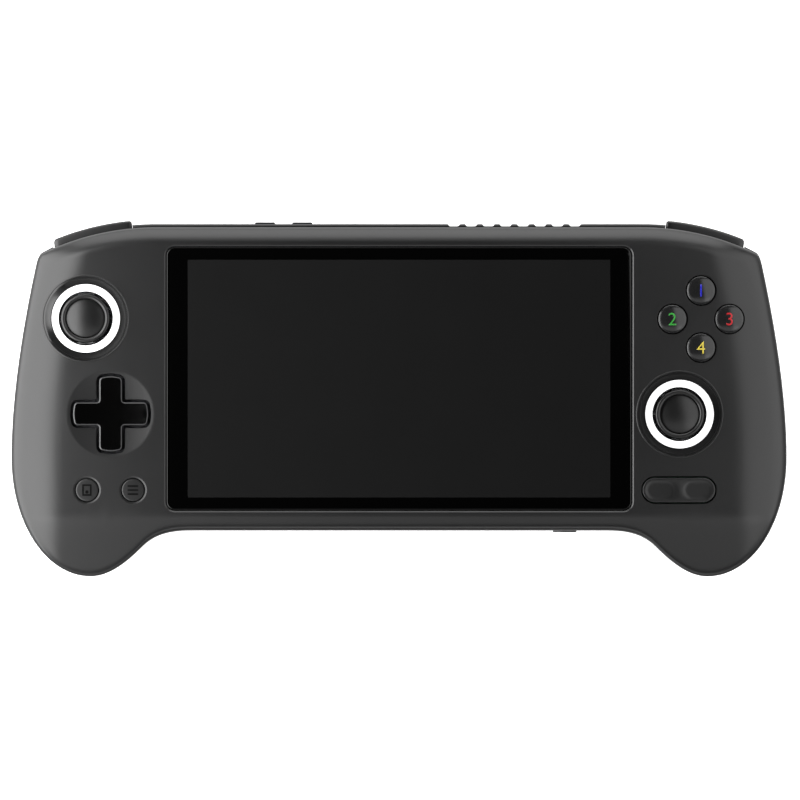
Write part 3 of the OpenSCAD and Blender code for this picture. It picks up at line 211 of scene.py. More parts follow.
def grip_share(p, from_side, over_x, from_top, over_y):
    """How far a point belongs to a grip, from 0 to 1."""
    across = smooth((abs(p.x) - HALF_W + from_side) / over_x)
    down = smooth((Y_TOP - from_top - p.y) / over_y)
    return across * down


def back_z(p):
    return Z_BACK * (1 - grip_share(p, *GRIP_SWELL))


def rear_edge(p):
    return lerp(BACK_EDGE, GRIP_EDGE, grip_share(p, *GRIP_ROUND))


def rim_height(angle, p):
    """Height of the face's edge: a full, soft edge that turns into a bowed bevel along the top."""
    c = math.cos(math.radians(angle))
    full = (1 - c ** EDGE_FULLNESS) ** (1 / EDGE_FULLNESS)
    end = clamp((c - BEVEL_END) / (1 - BEVEL_END), 0, 1)
    bevel = 1 - BEVEL_SLOPE * c - BEVEL_BOW * c * c - BEVEL_SOFT * end ** 2
    return lerp(full, bevel, top_share(p))


def front_rim(angle, wall):
    a = math.radians(angle)
    ring = []
    for p in FRONT_OUTLINE:
        q = inset(p, wall + FRONT_EDGE * (1 - math.cos(a)))
        share = math.sin(a) if wall else rim_height(angle, p)
        ring.append(Vector((q.x, q.y, Z_PART + (face_z(q) - wall - Z_PART) * share)))
    return ring


def front_field(f, wall):
    ring = []
    for p in FRONT_OUTLINE:
        q = inset(p, lerp(wall + FRONT_EDGE, (core(p) - p).length, f))
        ring.append(Vector((q.x, q.y, face_z(q) - wall)))
    return ring


def rear_rim(angle, wall):
    a = math.radians(angle)
    ring = []
    for p in REAR_OUTLINE:
        q = inset(p, wall + rear_edge(p) * (1 - math.cos(a)))
        ring.append(Vector((q.x, q.y, Z_PART - (Z_PART - back_z(q) - wall) * math.sin(a))))
    return ring


def rear_brim(angle):
    """Ring of the rear shell's upper edge, rounded where the shell steps out past the front one."""
    a = math.radians(angle)
    ring = []
    for p in REAR_OUTLINE:
        r = lerp(PART_CHAMFER, BRIM_R, top_share(p))
        q = inset(p, r * (1 - math.cos(a)))
        ring.append(Vector((q.x, q.y, Z_PART - r * (1 - math.sin(a)))))
    return ring


FIELD_END = 0.9
INNER_CORE_X = HALF_W - 66 * MM
INNER_CORE_LOW = CORE_LOW + 10 * MM
INNER_CORE_HIGH = CORE_HIGH - 12 * MM


def rear_field(f, v, wall):
    """Ring of the back, moved by share f towards the core and then by share v towards the inner core."""
    ring = []
    for p in REAR_OUTLINE:
        q = inset(p, lerp(wall + rear_edge(p), (core(p) - p).length, f))
        middle = Vector((clamp(q.x, -INNER_CORE_X, INNER_CORE_X),
                         clamp(q.y, INNER_CORE_LOW, INNER_CORE_HIGH)))
        q = q.lerp(middle, v)
        ring.append(Vector((q.x, q.y, back_z(q) + wall)))
    return ring


def flat_ring(outline, d, z):
    return [Vector((*inset(p, d), z)) for p in outline]


# Mesh helpers
SHARP_ANGLE = math.radians(34)


def add_object(name, data):
    obj = bpy.data.objects.new(name, data)
    bpy.context.scene.collection.objects.link(obj)
    return obj


def mesh_object(name, verts, faces):
    mesh = bpy.data.meshes.new(name)
    mesh.from_pydata([tuple(v) for v in verts], [], faces)
    mesh.validate()
    return add_object(name, mesh)


def outward(obj):
    work = bmesh.new()
    work.from_mesh(obj.data)
    bmesh.ops.recalc_face_normals(work, faces=work.faces)
    work.to_mesh(obj.data)
    work.free()
    return obj


def loft(name, rings):
    """Closed skin through rings of equal counts, closed at both ends."""
    n = len(rings[0])
    verts = [v for ring in rings for v in ring]
    faces = [list(range(n))]
    for k in range(len(rings) - 1):
        for i in range(n):
            j = (i + 1) % n
            faces.append([k * n + i, (k + 1) * n + i, (k + 1) * n + j, k * n + j])
    faces.append([(len(rings) - 1) * n + i for i in reversed(range(n))])
    return outward(mesh_object(name, verts, faces))


def lathe(name, profile, at, steps=96):
    """Revolved (radius, z) profile about a vertical axis; the profile starts and ends on the axis."""
    rings = []
    for r, z in profile[1:-1]:
        rings.append([Vector((at.x + r * math.cos(2 * math.pi * k / steps),
                              at.y + r * math.sin(2 * math.pi * k / steps), z)) for k in range(steps)])
    verts = [v for ring in rings for v in ring]
    first, last = len(verts), len(verts) + 1
    verts += [Vector((at.x, at.y, profile[0][1])), Vector((at.x, at.y, profile[-1][1]))]
    faces = []
    top = (len(rings) - 1) * steps
    for k in range(steps):
        j = (k + 1) % steps
        faces.append([first, j, k])
        faces.append([last, top + k, top + j])
        for m in range(len(rings) - 1):
            faces.append([m * steps + k, m * steps + j, (m + 1) * steps + j, (m + 1) * steps + k])
    return outward(mesh_object(name, verts, faces))


def loop_skin(name, sections):
    """Closed skin through sections of equal counts that run round in a loop."""
    n, steps = len(sections[0]), len(sections)
    verts = [v for section in sections for v in section]
    faces = []
    for k in range(steps):
        j = (k + 1) % steps
        for i in range(n):
            m = (i + 1) % n
            faces.append([k * n + i, j * n + i, j * n + m, k * n + m])
    return outward(mesh_object(name, verts, faces))


def ring_lathe(name, profile, at, steps=128):
    """Revolved closed (radius, z) profile that stays off the axis."""
    sections = []
    for k in range(steps):
        a = 2 * math.pi * k / steps
        sections.append([Vector((at.x + r * math.cos(a), at.y + r * math.sin(a), z)) for r, z in profile])
    return loop_skin(name, sections)


def arc(cx, cz, r, from_deg, to_deg, steps):
    points = []
    for i in range(steps + 1):
        a = math.radians(lerp(from_deg, to_deg, i / steps))
        points.append((cx + r * math.cos(a), cz + r * math.sin(a)))
    return points


def rounded_rect(w, h, r, at, z, steps=8):
    """Ring of a rounded rectangle; with r half the height it is a stadium."""
    ring = []
    for sx, sy, start in ((1, 1, 0), (-1, 1, 90), (-1, -1, 180), (1, -1, 270)):
        for i in range(steps + 1):
            a = math.radians(start + 90 * i / steps)
            ring.append(Vector((at.x + sx * (w / 2 - r) + r * math.cos(a),
                                at.y + sy * (h / 2 - r) + r * math.sin(a), z)))
    return ring


def circle_ways(steps):
    """Unit vectors around a circle."""
    angles = [2 * math.pi * k / steps for k in range(steps)]
    return [Vector((math.cos(a), math.sin(a))) for a in angles]


def round_levels(z_top, r, steps):
    """(offset, z) pairs of a quarter round that ends flat at z_top."""
    angles = [math.radians(90 * i / steps) for i in range(steps + 1)]
    return [(r * (1 - math.cos(a)), z_top - r + r * math.sin(a)) for a in angles]


def ball_radius(r, rise):
    """Radius of the ball of which a cap has the edge radius r and the height rise."""
    return (r * r + rise * rise) / (2 * rise)


def box_object(name, low, high, turn):
    """Box between two corners, with each of its points moved by turn."""
    verts = [turn(Vector((x, y, z)))
             for x in (low[0], high[0]) for y in (low[1], high[1]) for z in (low[2], high[2])]
    faces = [[0, 1, 3, 2], [4, 6, 7, 5], [0, 4, 5, 1], [2, 3, 7, 6], [0, 2, 6, 4], [1, 5, 7, 3]]
    return outward(mesh_object(name, verts, faces))


def joined(objects):
    """One object that holds the meshes of all of them."""
    work = bmesh.new()
    for obj in objects:
        work.from_mesh(obj.data)
    work.to_mesh(objects[0].data)
    work.free()
    for obj in objects[1:]:
        bpy.data.objects.remove(obj)
    return objects[0]


def settle(obj):
    """Puts the result of an object's modifiers into its mesh."""
    graph = bpy.context.evaluated_depsgraph_get()
    mesh = bpy.data.meshes.new_from_object(obj.evaluated_get(graph))
    obj.modifiers.clear()
    obj.data = mesh


def cut(obj, cutters):
    tool = joined(cutters)
    modifier = obj.modifiers.new("cut", "BOOLEAN")
    modifier.operation = "DIFFERENCE"
    modifier.solver = "EXACT"
    modifier.object = tool
    settle(obj)
    bpy.data.objects.remove(tool)


def shade(obj, angle=SHARP_ANGLE):
    obj.data.shade_smooth()
    obj.data.set_sharp_from_angle(angle=angle)
    return obj


# A corner takes the old normal where its face lies as near to the skin and leans as much alike as this
NEAR = 0.02 * MM
ALIKE = 0.96
NUDGE = 0.03


def keep_normals(obj, skin):
    """Gives what the cuts left of a smooth skin the normals that it had before them."""
    tree = BVHTree.FromPolygons([v.co for v in skin.vertices], [p.vertices for p in skin.polygons])
    before = [corner.vector.copy() for corner in skin.corner_normals]
    mesh = obj.data
    normals = [corner.vector.copy() for corner in mesh.corner_normals]
    for face in mesh.polygons:
        for corner in face.loop_indices:
            spot = mesh.vertices[mesh.loops[corner].vertex_index].co.lerp(face.center, NUDGE)
            spot, _, index, gap = tree.find_nearest(spot)
            polygon = skin.polygons[index]
            if gap > NEAR or polygon.normal.dot(face.normal) < ALIKE:
                continue
            weights = poly_3d_calc([skin.vertices[v].co for v in polygon.vertices], spot)
            total = Vector()
            for weight, k in zip(weights, polygon.loop_indices):
                total += weight * before[k]
            normals[corner] = total.normalized()
    mesh.normals_split_custom_set(normals)


def dress(obj, material, body, slot, *nodes):
    """Gives a piece its material, its body and the nodes that it stands for; the slot is not used."""
    obj.data.materials.clear()
    obj.data.materials.append(material)
    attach(obj, body)
    if nodes:
        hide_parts(*nodes)


# Materials
DRIFT = 18 * MM
DARKER = 0.93
PALER = 1.07


def moulded(name, colour, rough, grain=0.25 * MM, depth=0.004 * MM, spread=0.08, specular=0.5):
    """Moulded plastic or rubber: a fine grain in the surface and a slow drift in gloss and shade."""
    material = bpy.data.materials.new(name)
    material.use_nodes = True
    nodes, links = material.node_tree.nodes, material.node_tree.links
    shader = nodes["Principled BSDF"]
    shader.inputs["Specular IOR Level"].default_value = specular
    place = nodes.new("ShaderNodeTexCoord")
    fine = nodes.new("ShaderNodeTexNoise")
    fine.inputs["Scale"].default_value = 1 / grain
    fine.inputs["Detail"].default_value = 3
    slow = nodes.new("ShaderNodeTexNoise")
    slow.inputs["Scale"].default_value = 1 / DRIFT
    slow.inputs["Detail"].default_value = 4
    bump = nodes.new("ShaderNodeBump")
    bump.inputs["Distance"].default_value = depth
    gloss = nodes.new("ShaderNodeMapRange")
    gloss.inputs["To Min"].default_value = rough - spread / 2
    gloss.inputs["To Max"].default_value = rough + spread / 2
    tint = nodes.new("ShaderNodeMix")
    tint.data_type = "RGBA"
    tint.inputs["A"].default_value = (*[c * DARKER for c in colour], 1)
    tint.inputs["B"].default_value = (*[c * PALER for c in colour], 1)
    links.new(place.outputs["Object"], fine.inputs["Vector"])
    links.new(place.outputs["Object"], slow.inputs["Vector"])
    links.new(fine.outputs["Fac"], bump.inputs["Height"])
    links.new(bump.outputs["Normal"], shader.inputs["Normal"])
    links.new(slow.outputs["Fac"], gloss.inputs["Value"])
    links.new(gloss.outputs["Result"], shader.inputs["Roughness"])
    links.new(slow.outputs["Fac"], tint.inputs["Factor"])
    links.new(tint.outputs["Result"], shader.inputs["Base Color"])
    return material


def metal(name, colour, rough):
    material = moulded(name, colour, rough, grain=0.15 * MM, depth=0.002 * MM)
    material.node_tree.nodes["Principled BSDF"].inputs["Metallic"].default_value = 1
    return material


def glow(name, colour, strength):
    material = moulded(name, colour, 0.5)
    shader = material.node_tree.nodes["Principled BSDF"]
    shader.inputs["Emission Color"].default_value = (*colour, 1)
    shader.inputs["Emission Strength"].default_value = strength
    return material


SHELL = moulded("front_plastic", (0.006, 0.006, 0.0061), 0.33, spread=0.05)
REAR = moulded("rear_plastic", (0.006, 0.006, 0.0061), 0.36, spread=0.05)
KEYS = moulded("key_plastic", (0.006, 0.006, 0.0061), 0.33, spread=0.05)
RUBBER = moulded("stick_rubber", (0.003, 0.003, 0.003), 0.33, grain=0.4 * MM)
# Near-black material put on the sticks' sides and the gaps round them: painted shade
SHADOW = moulded("painted_shade_black", (0.001, 0.001, 0.001), 0.6, specular=0.05)
PIANO = moulded("piano_black", (0.0004, 0.0004, 0.0004), 0.12, grain=1.5 * MM, depth=0.001 * MM, spread=0.04)
# Paler material for the pad's sloped edges: a painted highlight along its outline
PAINTED_HIGHLIGHT = moulded("painted_highlight_edge", (0.03, 0.03, 0.031), 0.3)
CAP = moulded("button_cap", (0.009, 0.009, 0.0092), 0.2, grain=1.5 * MM, depth=0.001 * MM, spread=0.04)
GLASS = moulded("glass_border", (0.0004, 0.0004, 0.0004), 0.05, grain=3 * MM, depth=0.0002 * MM, spread=0.02,
                specular=0.3)
LIT = moulded("lit_area", (0.0075, 0.0075, 0.0075), 0.06, grain=3 * MM, depth=0.0002 * MM, spread=0.02,
              specular=0.3)
RING = glow("ring_light", (1, 1, 1), 1)
STEEL = metal("stamped_steel", (0.55, 0.55, 0.57), 0.35)
COPPER = metal("copper_fins", (0.5, 0.27, 0.13), 0.35)
FOIL = metal("pouch_foil", (0.12, 0.13, 0.15), 0.4)
BOARD = moulded("solder_mask", (0.008, 0.07, 0.03), 0.35)
MAT = moulded("silicone_mat", (0.09, 0.09, 0.1), 0.6)
RIBBON = moulded("polyimide", (0.4, 0.11, 0.01), 0.3)
INNER = moulded("inner_plastic", (0.02, 0.02, 0.022), 0.45)

SLOT_MATERIALS = {
    "front_shell": SHELL, "rear_shell": REAR, "glass": GLASS, "display": LIT, "light_ring": RING,
    "stick_rubber": RUBBER, "gloss_button": CAP, "matte_button": KEYS, "shoulder_plastic": KEYS,
    "circuit_board": BOARD, "rubber_mat": MAT, "battery_pouch": FOIL, "fins": COPPER, "ribbon": RIBBON,
    "inner_plastic": INNER, "steel": STEEL,
}
for part in frame["record"]["subparts"]:
    node = frame["nodes"][part["node"]]
    node.data.materials.clear()
    node.data.materials.append(SLOT_MATERIALS[part["material_slot"]])

# Pieces of the CAD model that only need soft edges
EDGES = {
    "left_trigger": 0.6 * MM, "right_trigger": 0.6 * MM, "volume_rocker": 0.35 * MM, "power_key": 0.35 * MM,
    "charging_port": 0.08 * MM, "headphone_jack": 0.2 * MM, "case_screws": 0.1 * MM,
}
for name, width in EDGES.items():
    node = frame["nodes"][name]
    weld = node.modifiers.new("weld", "WELD")
    weld.merge_threshold = 0.001 * MM
    bevel = node.modifiers.new("bevel", "BEVEL")
    bevel.width = width
    bevel.segments = 3
    bevel.limit_method = "ANGLE"
    bevel.angle_limit = math.radians(35)
    node.data.shade_smooth()
    node.modifiers.new("normals", "WEIGHTED_NORMAL")

# Front shell
STICKS = {side: centre_of(side + "_light_ring") for side in ("left", "right")}
PAD = centre_of("four_way_pad")
SCREEN = centre_of("screen_glass")
GLASS_LOW, GLASS_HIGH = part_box("screen_glass")
GLASS_W = GLASS_HIGH.x - GLASS_LOW.x
GLASS_H = GLASS_HIGH.y - GLASS_LOW.y
GLASS_R = 2.6 * MM
GLASS_GAP = 0.2 * MM
GLASS_MOUTH = 0.45 * MM
GLASS_SLOPE = 0.8
PANEL_LOW, PANEL_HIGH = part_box("display_panel")
PANEL_SPACE = 1 * MM
PANEL_CORNER = 1 * MM
RING_R = 9.85 * MM
RING_HOLE = RING_R + 0.2 * MM
WELL_R = 12.1 * MM
WELL_LIP = 0.3 * MM
WELL_FADE = 0.9 * MM
WELL_LEAST = 0.12
BEAD_R = 0.26 * MM
BEAD_SINK = 0.13 * MM
BEAD_OUT = 0.22 * MM
FACE_MOUTH = 0.12 * MM
SMALL_MOUTH = 0.5 * MM
MOUTH_SLOPE = 0.34
PAD_DISH_R = 12.85 * MM
PAD_DISH_DEPTH = 0.9 * MM
PAD_SPAN = 21.6 * MM
PAD_ARM = 6.6 * MM
PAD_GAP = 0.85 * MM
PAD_BOW = 0.25 * MM
PAD_CORNER = 1.2 * MM
PAD_HOLE_FILLET = 0.4 * MM
DISH_FLARE = 0.05 * MM

# Collar around a light ring: radius, and height over the face
COLLAR = [(RING_HOLE, -1.35 * MM), (11.5 * MM, -0.68 * MM), (11.58 * MM, -0.42 * MM), (WELL_R, -0.1 * MM),
          (WELL_R + WELL_LIP, 0.08 * MM)]

# Where the shell's rings lie: shares of the way to the core, and angles around the edge
FRONT_SHARES = (0.92, 0.8, 0.68, 0.57, 0.47, 0.38, 0.3, 0.22, 0.15, 0.07)
FRONT_ANGLES = (90, 87, *range(84, 5, -6))
INNER_ANGLES = (0, 30, 60, 90)


def round_hole(name, at, r, lip):
    """Hole of a round button, with a sloped mouth of width lip."""
    mouth = [(r, Z_FACE - MOUTH_SLOPE * lip), (r + lip, Z_FACE), (r + lip, Z_FACE + OVER)]
    return lathe(name, [(0, Z_CEIL - OVER), (r, Z_CEIL - OVER), *mouth, (0, Z_FACE + OVER)], at, 64)


def well_share(p):
    """Share of the collar's depth, which fades where the face rolls off."""
    return lerp(1, WELL_LEAST, smooth((Z_FACE - face_z(p)) / WELL_FADE))


def well_bead(side, steps=128, count=10):
    """Fine bead around a stick's collar, which follows the face."""
    middle = STICKS[side].xy
    sections = []
    for way in circle_ways(steps):
        section = []
        for i in range(count):
            a = 2 * math.pi * i / count
            spot = middle + way * (WELL_R + BEAD_OUT + BEAD_R * math.cos(a))
            section.append(Vector((spot.x, spot.y, face_z(spot) - BEAD_SINK + BEAD_R * math.sin(a))))
        sections.append(section)
    bead = shade(loop_skin(side + "_well_bead", sections), math.radians(60))
    dress(bead, SHELL, "case", "front_shell")


def stick_well(side, steps=128):
    """Sloped collar around a light ring, which follows the face and ends in a fine lip."""
    ways = circle_ways(steps)
    middle = STICKS[side].xy
    rings = [[Vector((*(middle + w * RING_HOLE), Z_CEIL - 2 * OVER)) for w in ways]]
    for r, up in COLLAR:
        spots = [middle + w * r for w in ways]
        rings.append([Vector((s.x, s.y, face_z(s) + up * well_share(s))) for s in spots])
    r = WELL_R + WELL_LIP + HAIR
    rings.append([Vector((*(middle + w * r), Z_FACE + OVER)) for w in ways])
    return loft(side + "_well", rings)


def glass_pocket():
    """Pocket of the glass, with a sloped mouth, and the opening of the panel under it."""
    w, h = GLASS_W + 2 * GLASS_GAP, GLASS_H + 2 * GLASS_GAP
    open_w = PANEL_HIGH.x - PANEL_LOW.x + PANEL_SPACE
    open_h = PANEL_HIGH.y - PANEL_LOW.y + PANEL_SPACE
    z_ledge, z_mouth = GLASS_LOW.z, Z_FACE - GLASS_SLOPE * GLASS_MOUTH
    rings = [rounded_rect(open_w, open_h, PANEL_CORNER, SCREEN, Z_CEIL - OVER),
             rounded_rect(open_w, open_h, PANEL_CORNER, SCREEN, z_ledge),
             rounded_rect(w, h, GLASS_R, SCREEN, z_ledge)]
    for grow, z in ((0, z_mouth), (GLASS_MOUTH, Z_FACE), (GLASS_MOUTH, Z_FACE + OVER)):
        rings.append(rounded_rect(w + 2 * grow, h + 2 * grow, GLASS_R + grow, SCREEN, z))
    return loft("glass_pocket", rings)


def long_hole():
    at = centre_of("long_button")
    w, h = LONG_W + 2 * BUTTON_GAP, LONG_H + 2 * BUTTON_GAP
    rings = [rounded_rect(w, h, h / 2, at, Z_CEIL - OVER)]
    for grow, z in [*round_levels(Z_FACE, LIP, 4), (LIP + HAIR, Z_FACE + OVER)]:
        rings.append(rounded_rect(w + 2 * grow, h + 2 * grow, h / 2 + grow, at, z))
    return loft("long_hole", rings)


def pad_dish(steps=16):
    """Shallow round dish of the face around the pad."""
    ball = ball_radius(PAD_DISH_R, PAD_DISH_DEPTH)
    bottom = Z_FACE - PAD_DISH_DEPTH
    profile = []
    for i in range(steps + 1):
        r = PAD_DISH_R * i / steps
        profile.append((r, bottom + ball - math.sqrt(ball ** 2 - r ** 2)))
    profile += [(PAD_DISH_R + DISH_FLARE, Z_FACE + OVER), (0, Z_FACE + OVER)]
    return lathe("pad_dish", profile, PAD, 128)


def cross_ring(span, arm, r_out, r_in, z, steps=6):
    """Ring of a plus shape with rounded outer and inner corners and slightly bowed ends."""
    s, a = span / 2 - PAD_BOW, arm / 2
    ring = []
    for quarter in range(4):
        turn = math.radians(90 * quarter)
        points = arc(s - r_out, a - r_out, r_out, 0, 90, steps)
        points += arc(a + r_in, a + r_in, r_in, 270, 180, steps)
        points += arc(a - r_out, s - r_out, r_out, 0, 90, steps)
        for i in range(1, steps):
            t = 1 - 2 * i / steps
            points.append(((a - r_out) * t, s + PAD_BOW * (1 - t * t)))
        for x, y in points:
            ring.append(Vector((PAD.x + x * math.cos(turn) - y * math.sin(turn),
                                PAD.y + x * math.sin(turn) + y * math.cos(turn), z)))
    return ring


def cross_hole():
    span, arm = PAD_SPAN + 2 * PAD_GAP, PAD_ARM + 2 * PAD_GAP
    return loft("cross_hole", [cross_ring(span, arm, PAD_CORNER + PAD_GAP, PAD_HOLE_FILLET, z)
                               for z in (Z_CEIL - OVER, Z_FACE + OVER)])


def front_shell():
    rings = [front_field(f, 0) for f in FRONT_SHARES]
    rings += [front_rim(a, 0) for a in FRONT_ANGLES]
    rings += [flat_ring(FRONT_OUTLINE, 0, Z_PART + PART_CHAMFER),
              flat_ring(FRONT_OUTLINE, PART_CHAMFER, Z_PART)]
    rings += [front_rim(a, FRONT_WALL) for a in INNER_ANGLES]
    rings += [front_field(f, FRONT_WALL) for f in (0.4, 0.92)]
    shell = loft("front_case", rings)
    cutters = []
    for name in frame["nodes"]:
        if name.startswith("face_button"):
            cutters.append(round_hole("hole_" + name, centre_of(name), FACE_R + BUTTON_GAP, FACE_MOUTH))
        elif name.endswith("small_button"):
            cutters.append(round_hole("hole_" + name, centre_of(name), SMALL_R + BUTTON_GAP, SMALL_MOUTH))
    cutters += [stick_well(side) for side in STICKS]
    cutters += [glass_pocket(), long_hole(), pad_dish()]
    skin = shade(shell).data
    cut(shell, cutters)
    cut(shell, [cross_hole()])
    keep_normals(shade(shell), skin)
    dress(shell, SHELL, "case", "front_shell", "front_shell")


# Rear shell
def at_shoulder(side):
    """Turns a point of the shoulder frame (across, out, up) into the object's frame."""
    a = math.radians(BUMPER_MID)

    def turn(v):
        x = SHOULDER_X + v.x * math.cos(a) + v.y * math.sin(a)
        y = SHOULDER_Y - v.x * math.sin(a) + v.y * math.cos(a)
        return Vector((side * x, y, v.z))
    return turn


Z_BUMPER = Z_PART - 0.3 * MM
Z_BUMPER_LOW = Z_BUMPER - 6.6 * MM
Z_SPLIT = Z_BUMPER_LOW - 0.3 * MM
BUMPER_IN = SHOULDER_R - 2.6 * MM
BUMPER_OUT = SHOULDER_R + 2.3 * MM
BUMPER_SOFT = 0.75 * MM
BOSS_R = 2 * MM
BOSS_EDGE = 0.1 * MM
BOSS_LOW = Z_BUMPER_LOW + 1 * MM
NECK_END = 2.2 - BUMPER_HALF
BAY_IN = SHOULDER_R - 5.2 * MM
BAY_GAP = 0.15
END_GAP = 0.2 * MM
PIVOT_R = SHOULDER_R - 2.8 * MM
PIVOT_TURN = BUMPER_HALF + 1.8
TRIGGER_BAY = 11 * MM
TRIGGER_IN = SHOULDER_R - 10.6 * MM


def polar(r, angle, z=0):
    a = math.radians(angle)
    return Vector((r * math.sin(a), r * math.cos(a), z))


REACH = (polar(SHOULDER_R, BUMPER_HALF + 0.4) - polar(PIVOT_R, -PIVOT_TURN)).length


def end_angle(r, gap):
    """Where the bumper's outer end, round about its pin, crosses a circle about the shoulder's centre."""
    reach = REACH + gap
    return math.degrees(math.acos((r * r + PIVOT_R ** 2 - reach ** 2) / (2 * r * PIVOT_R))) - PIVOT_TURN


def bumper_bay(side, steps=24):
    turn = at_shoulder(side)
    far = SHOULDER_R + 6 * MM
    rings = []
    for z in (Z_SPLIT, Z_PART + 1 * MM):
        start = -BUMPER_HALF - BAY_GAP
        ring = [polar(far, lerp(start, end_angle(far, END_GAP), i / steps), z) for i in range(steps + 1)]
        for i in range(1, 6):
            r = lerp(far, BAY_IN, i / 6)
            ring.append(polar(r, end_angle(r, END_GAP), z))
        end = end_angle(BAY_IN, END_GAP)
        ring += [polar(BAY_IN, lerp(end, start, i / steps), z) for i in range(steps + 1)]
        rings.append([turn(v) for v in ring])
    return loft("bumper_bay", rings)


def bumper(side):
    """Bumper with soft edges: sections from its inner to its outer end, a neck and a boss on its pin."""
    turn = at_shoulder(1 if side == "right" else -1)
    soft = BUMPER_SOFT
    deep = (BUMPER_OUT - BUMPER_IN) / 2
    tall = (Z_BUMPER - Z_BUMPER_LOW) / 2
    ends = []
    for a in (0, 22.5, 45, 67.5):
        ends.append((soft * (1 - math.cos(math.radians(a))), soft * (1 - math.sin(math.radians(a)))))
    steps = [(0, move, shrink) for move, shrink in ends]
    steps += [(i / 16, 0, 0) for i in range(1, 16)]
    steps += [(1, -move, shrink) for move, shrink in reversed(ends)]
    rings = []
    for t, move, shrink in steps:
        flat = rounded_rect(2 * (deep - shrink), 2 * (tall - shrink), max(soft - shrink, 0.02 * MM),
                            Vector(), 0, 5)
        ring = []
        for p in flat:
            r = (BUMPER_IN + BUMPER_OUT) / 2 + p.x
            a = lerp(-BUMPER_HALF, end_angle(r, 0), t) + math.degrees(move / r)
            ring.append(turn(polar(r, a, (Z_BUMPER + Z_BUMPER_LOW) / 2 + p.y)))
        rings.append(ring)
    bar = loft(side + "_shoulder_key", rings)
    pivot = polar(PIVOT_R, -PIVOT_TURN)
    boss = lathe("boss", [
        (0, BOSS_LOW), (BOSS_R - BOSS_EDGE, BOSS_LOW), (BOSS_R, BOSS_LOW + BOSS_EDGE),
        (BOSS_R, Z_BUMPER - BOSS_EDGE), (BOSS_R - BOSS_EDGE, Z_BUMPER), (0, Z_BUMPER)], turn(pivot), 40)
    # Corners of the neck: two at the pin and two inside the bar
    corners = [pivot + Vector((0, 1.1 * MM, 0)), pivot - Vector((0, 1.7 * MM, 0)),
               polar(BUMPER_IN + 0.3 * MM, NECK_END), polar(SHOULDER_R - 0.9 * MM, NECK_END)]
    neck = loft("neck", [[turn(Vector((p.x, p.y, z))) for p in corners]
                         for z in (BOSS_LOW, Z_BUMPER - 0.05 * MM)])
    key = shade(joined([bar, boss, neck]))
    dress(key, KEYS, side + "_bumper", "shoulder_plastic", side + "_bumper")


def through_wall(name, x, z, w, h, r, y0, y1, steps=8):
    """Rounded opening of width w and height h, cut along Y."""
    flat = rounded_rect(w, h, r, Vector((x, z, 0)), 0, steps)
    return loft(name, [[Vector((p.x, y, p.y)) for p in flat] for y in (y0, y1)])


Z_UNDER = -5 * MM
TOP_WALL = (Y_TOP - 6 * MM, Y_TOP + 4 * MM)
FOOT_WALL = (Y_BOT - 4 * MM, Y_BOT + 7 * MM)
TIP_WALL = (Y_TIP - 4 * MM, Y_TIP + 5.5 * MM)
TOP_KEY_X = 33.2 * MM
TOP_KEY_H = 3.2 * MM
TOP_KEY_FLANGES = 1.6 * MM
TOP_KEY_CORNER = 0.6 * MM
VENT_COUNT = 8
VENT_PITCH = 4.97 * MM
VENT_W = 3.1 * MM
VENT_H = 3.8 * MM
VENT_CORNER = 0.7 * MM
VENT_Z = Z_PART - 3.1 * MM
VENTS = [TOP_KEY_X + (i - (VENT_COUNT - 1) / 2) * VENT_PITCH for i in range(VENT_COUNT)]
NOTCH = 0.66 * MM
NOTCH_FOOT = 0.45 * MM
NOTCH_FLARE = 0.35 * MM
NOTCH_LOW = Z_PART - 4.2 * MM
SCREW_INSETS = [
    (HALF_W - 42.7 * MM, Y_TOP - 10.7 * MM), (HALF_W - 11 * MM, Y_TIP + 37.2 * MM),
    (HALF_W - 31.5 * MM, Y_BOT + 2 * MM)]
SCREW_SEAT = Z_PART - 4.5 * MM
SCREW_R = 2.2 * MM
SOUND_COUNT = 5
SOUND_X = HALF_W - 22 * MM
SOUND_PITCH = 2.6 * MM
SOUND_W = 1.3 * MM
SOUND_H = 5 * MM
SOUND_CORNER = 0.6 * MM
SOUND_Z = Z_PART - 4.5 * MM
INTAKE_COUNT = 7
INTAKE_R = 13 * MM
INTAKE_PITCH = 3.6 * MM
INTAKE_W = 1.8 * MM

# Openings of the ports: depth under the parting plane, width, height, corner radius and its steps
PORTS = {
    "headphone_jack": (0, 7.2 * MM, 14.4 * MM, 3.59 * MM, 16),
    "charging_port": (2.5 * MM, 9.44 * MM, 3.7 * MM, 1.84 * MM, 12),
    "card_socket": (1.8 * MM, 12.4 * MM, 1.7 * MM, 0.4 * MM, 8),
}


def vent_notch(x):
    """Scoop in the brim above a vent, with a round foot and flared sides."""
    floor_y = Y_TOP + REAR_STEP - NOTCH
    half, foot = VENT_W / 2, NOTCH_FOOT
    flat = [(-half - NOTCH_FLARE, TOP_WALL[1]), (-half - NOTCH_FLARE, Y_TOP + REAR_STEP)]
    for a in (90, 60, 30, 0):
        across, along = math.sin(math.radians(a)), math.cos(math.radians(a))
        flat.append((-half + foot * (1 - across), floor_y + foot * (1 - along)))
    flat += [(-px, py) for px, py in reversed(flat)]
    return loft("vent_notch", [[Vector((x + px, py, z)) for px, py in flat]
                               for z in (NOTCH_LOW, Z_PART + 1 * MM)])


def side_openings(side):
    """Bay of a bumper, holes of the screws and slits of a speaker."""
    cutters = [bumper_bay(side)]
    for x, y in SCREW_INSETS:
        profile = [(0, Z_UNDER), (SCREW_R, Z_UNDER), (SCREW_R, SCREW_SEAT), (0, SCREW_SEAT)]
        cutters.append(lathe("screw_hole", profile, Vector((side * x, y)), 48))
    for i in range(SOUND_COUNT):
        x = side * (SOUND_X + (i - SOUND_COUNT // 2) * SOUND_PITCH)
        cutters.append(through_wall("sound_slit", x, SOUND_Z, SOUND_W, SOUND_H, SOUND_CORNER, *TIP_WALL))
    return cutters


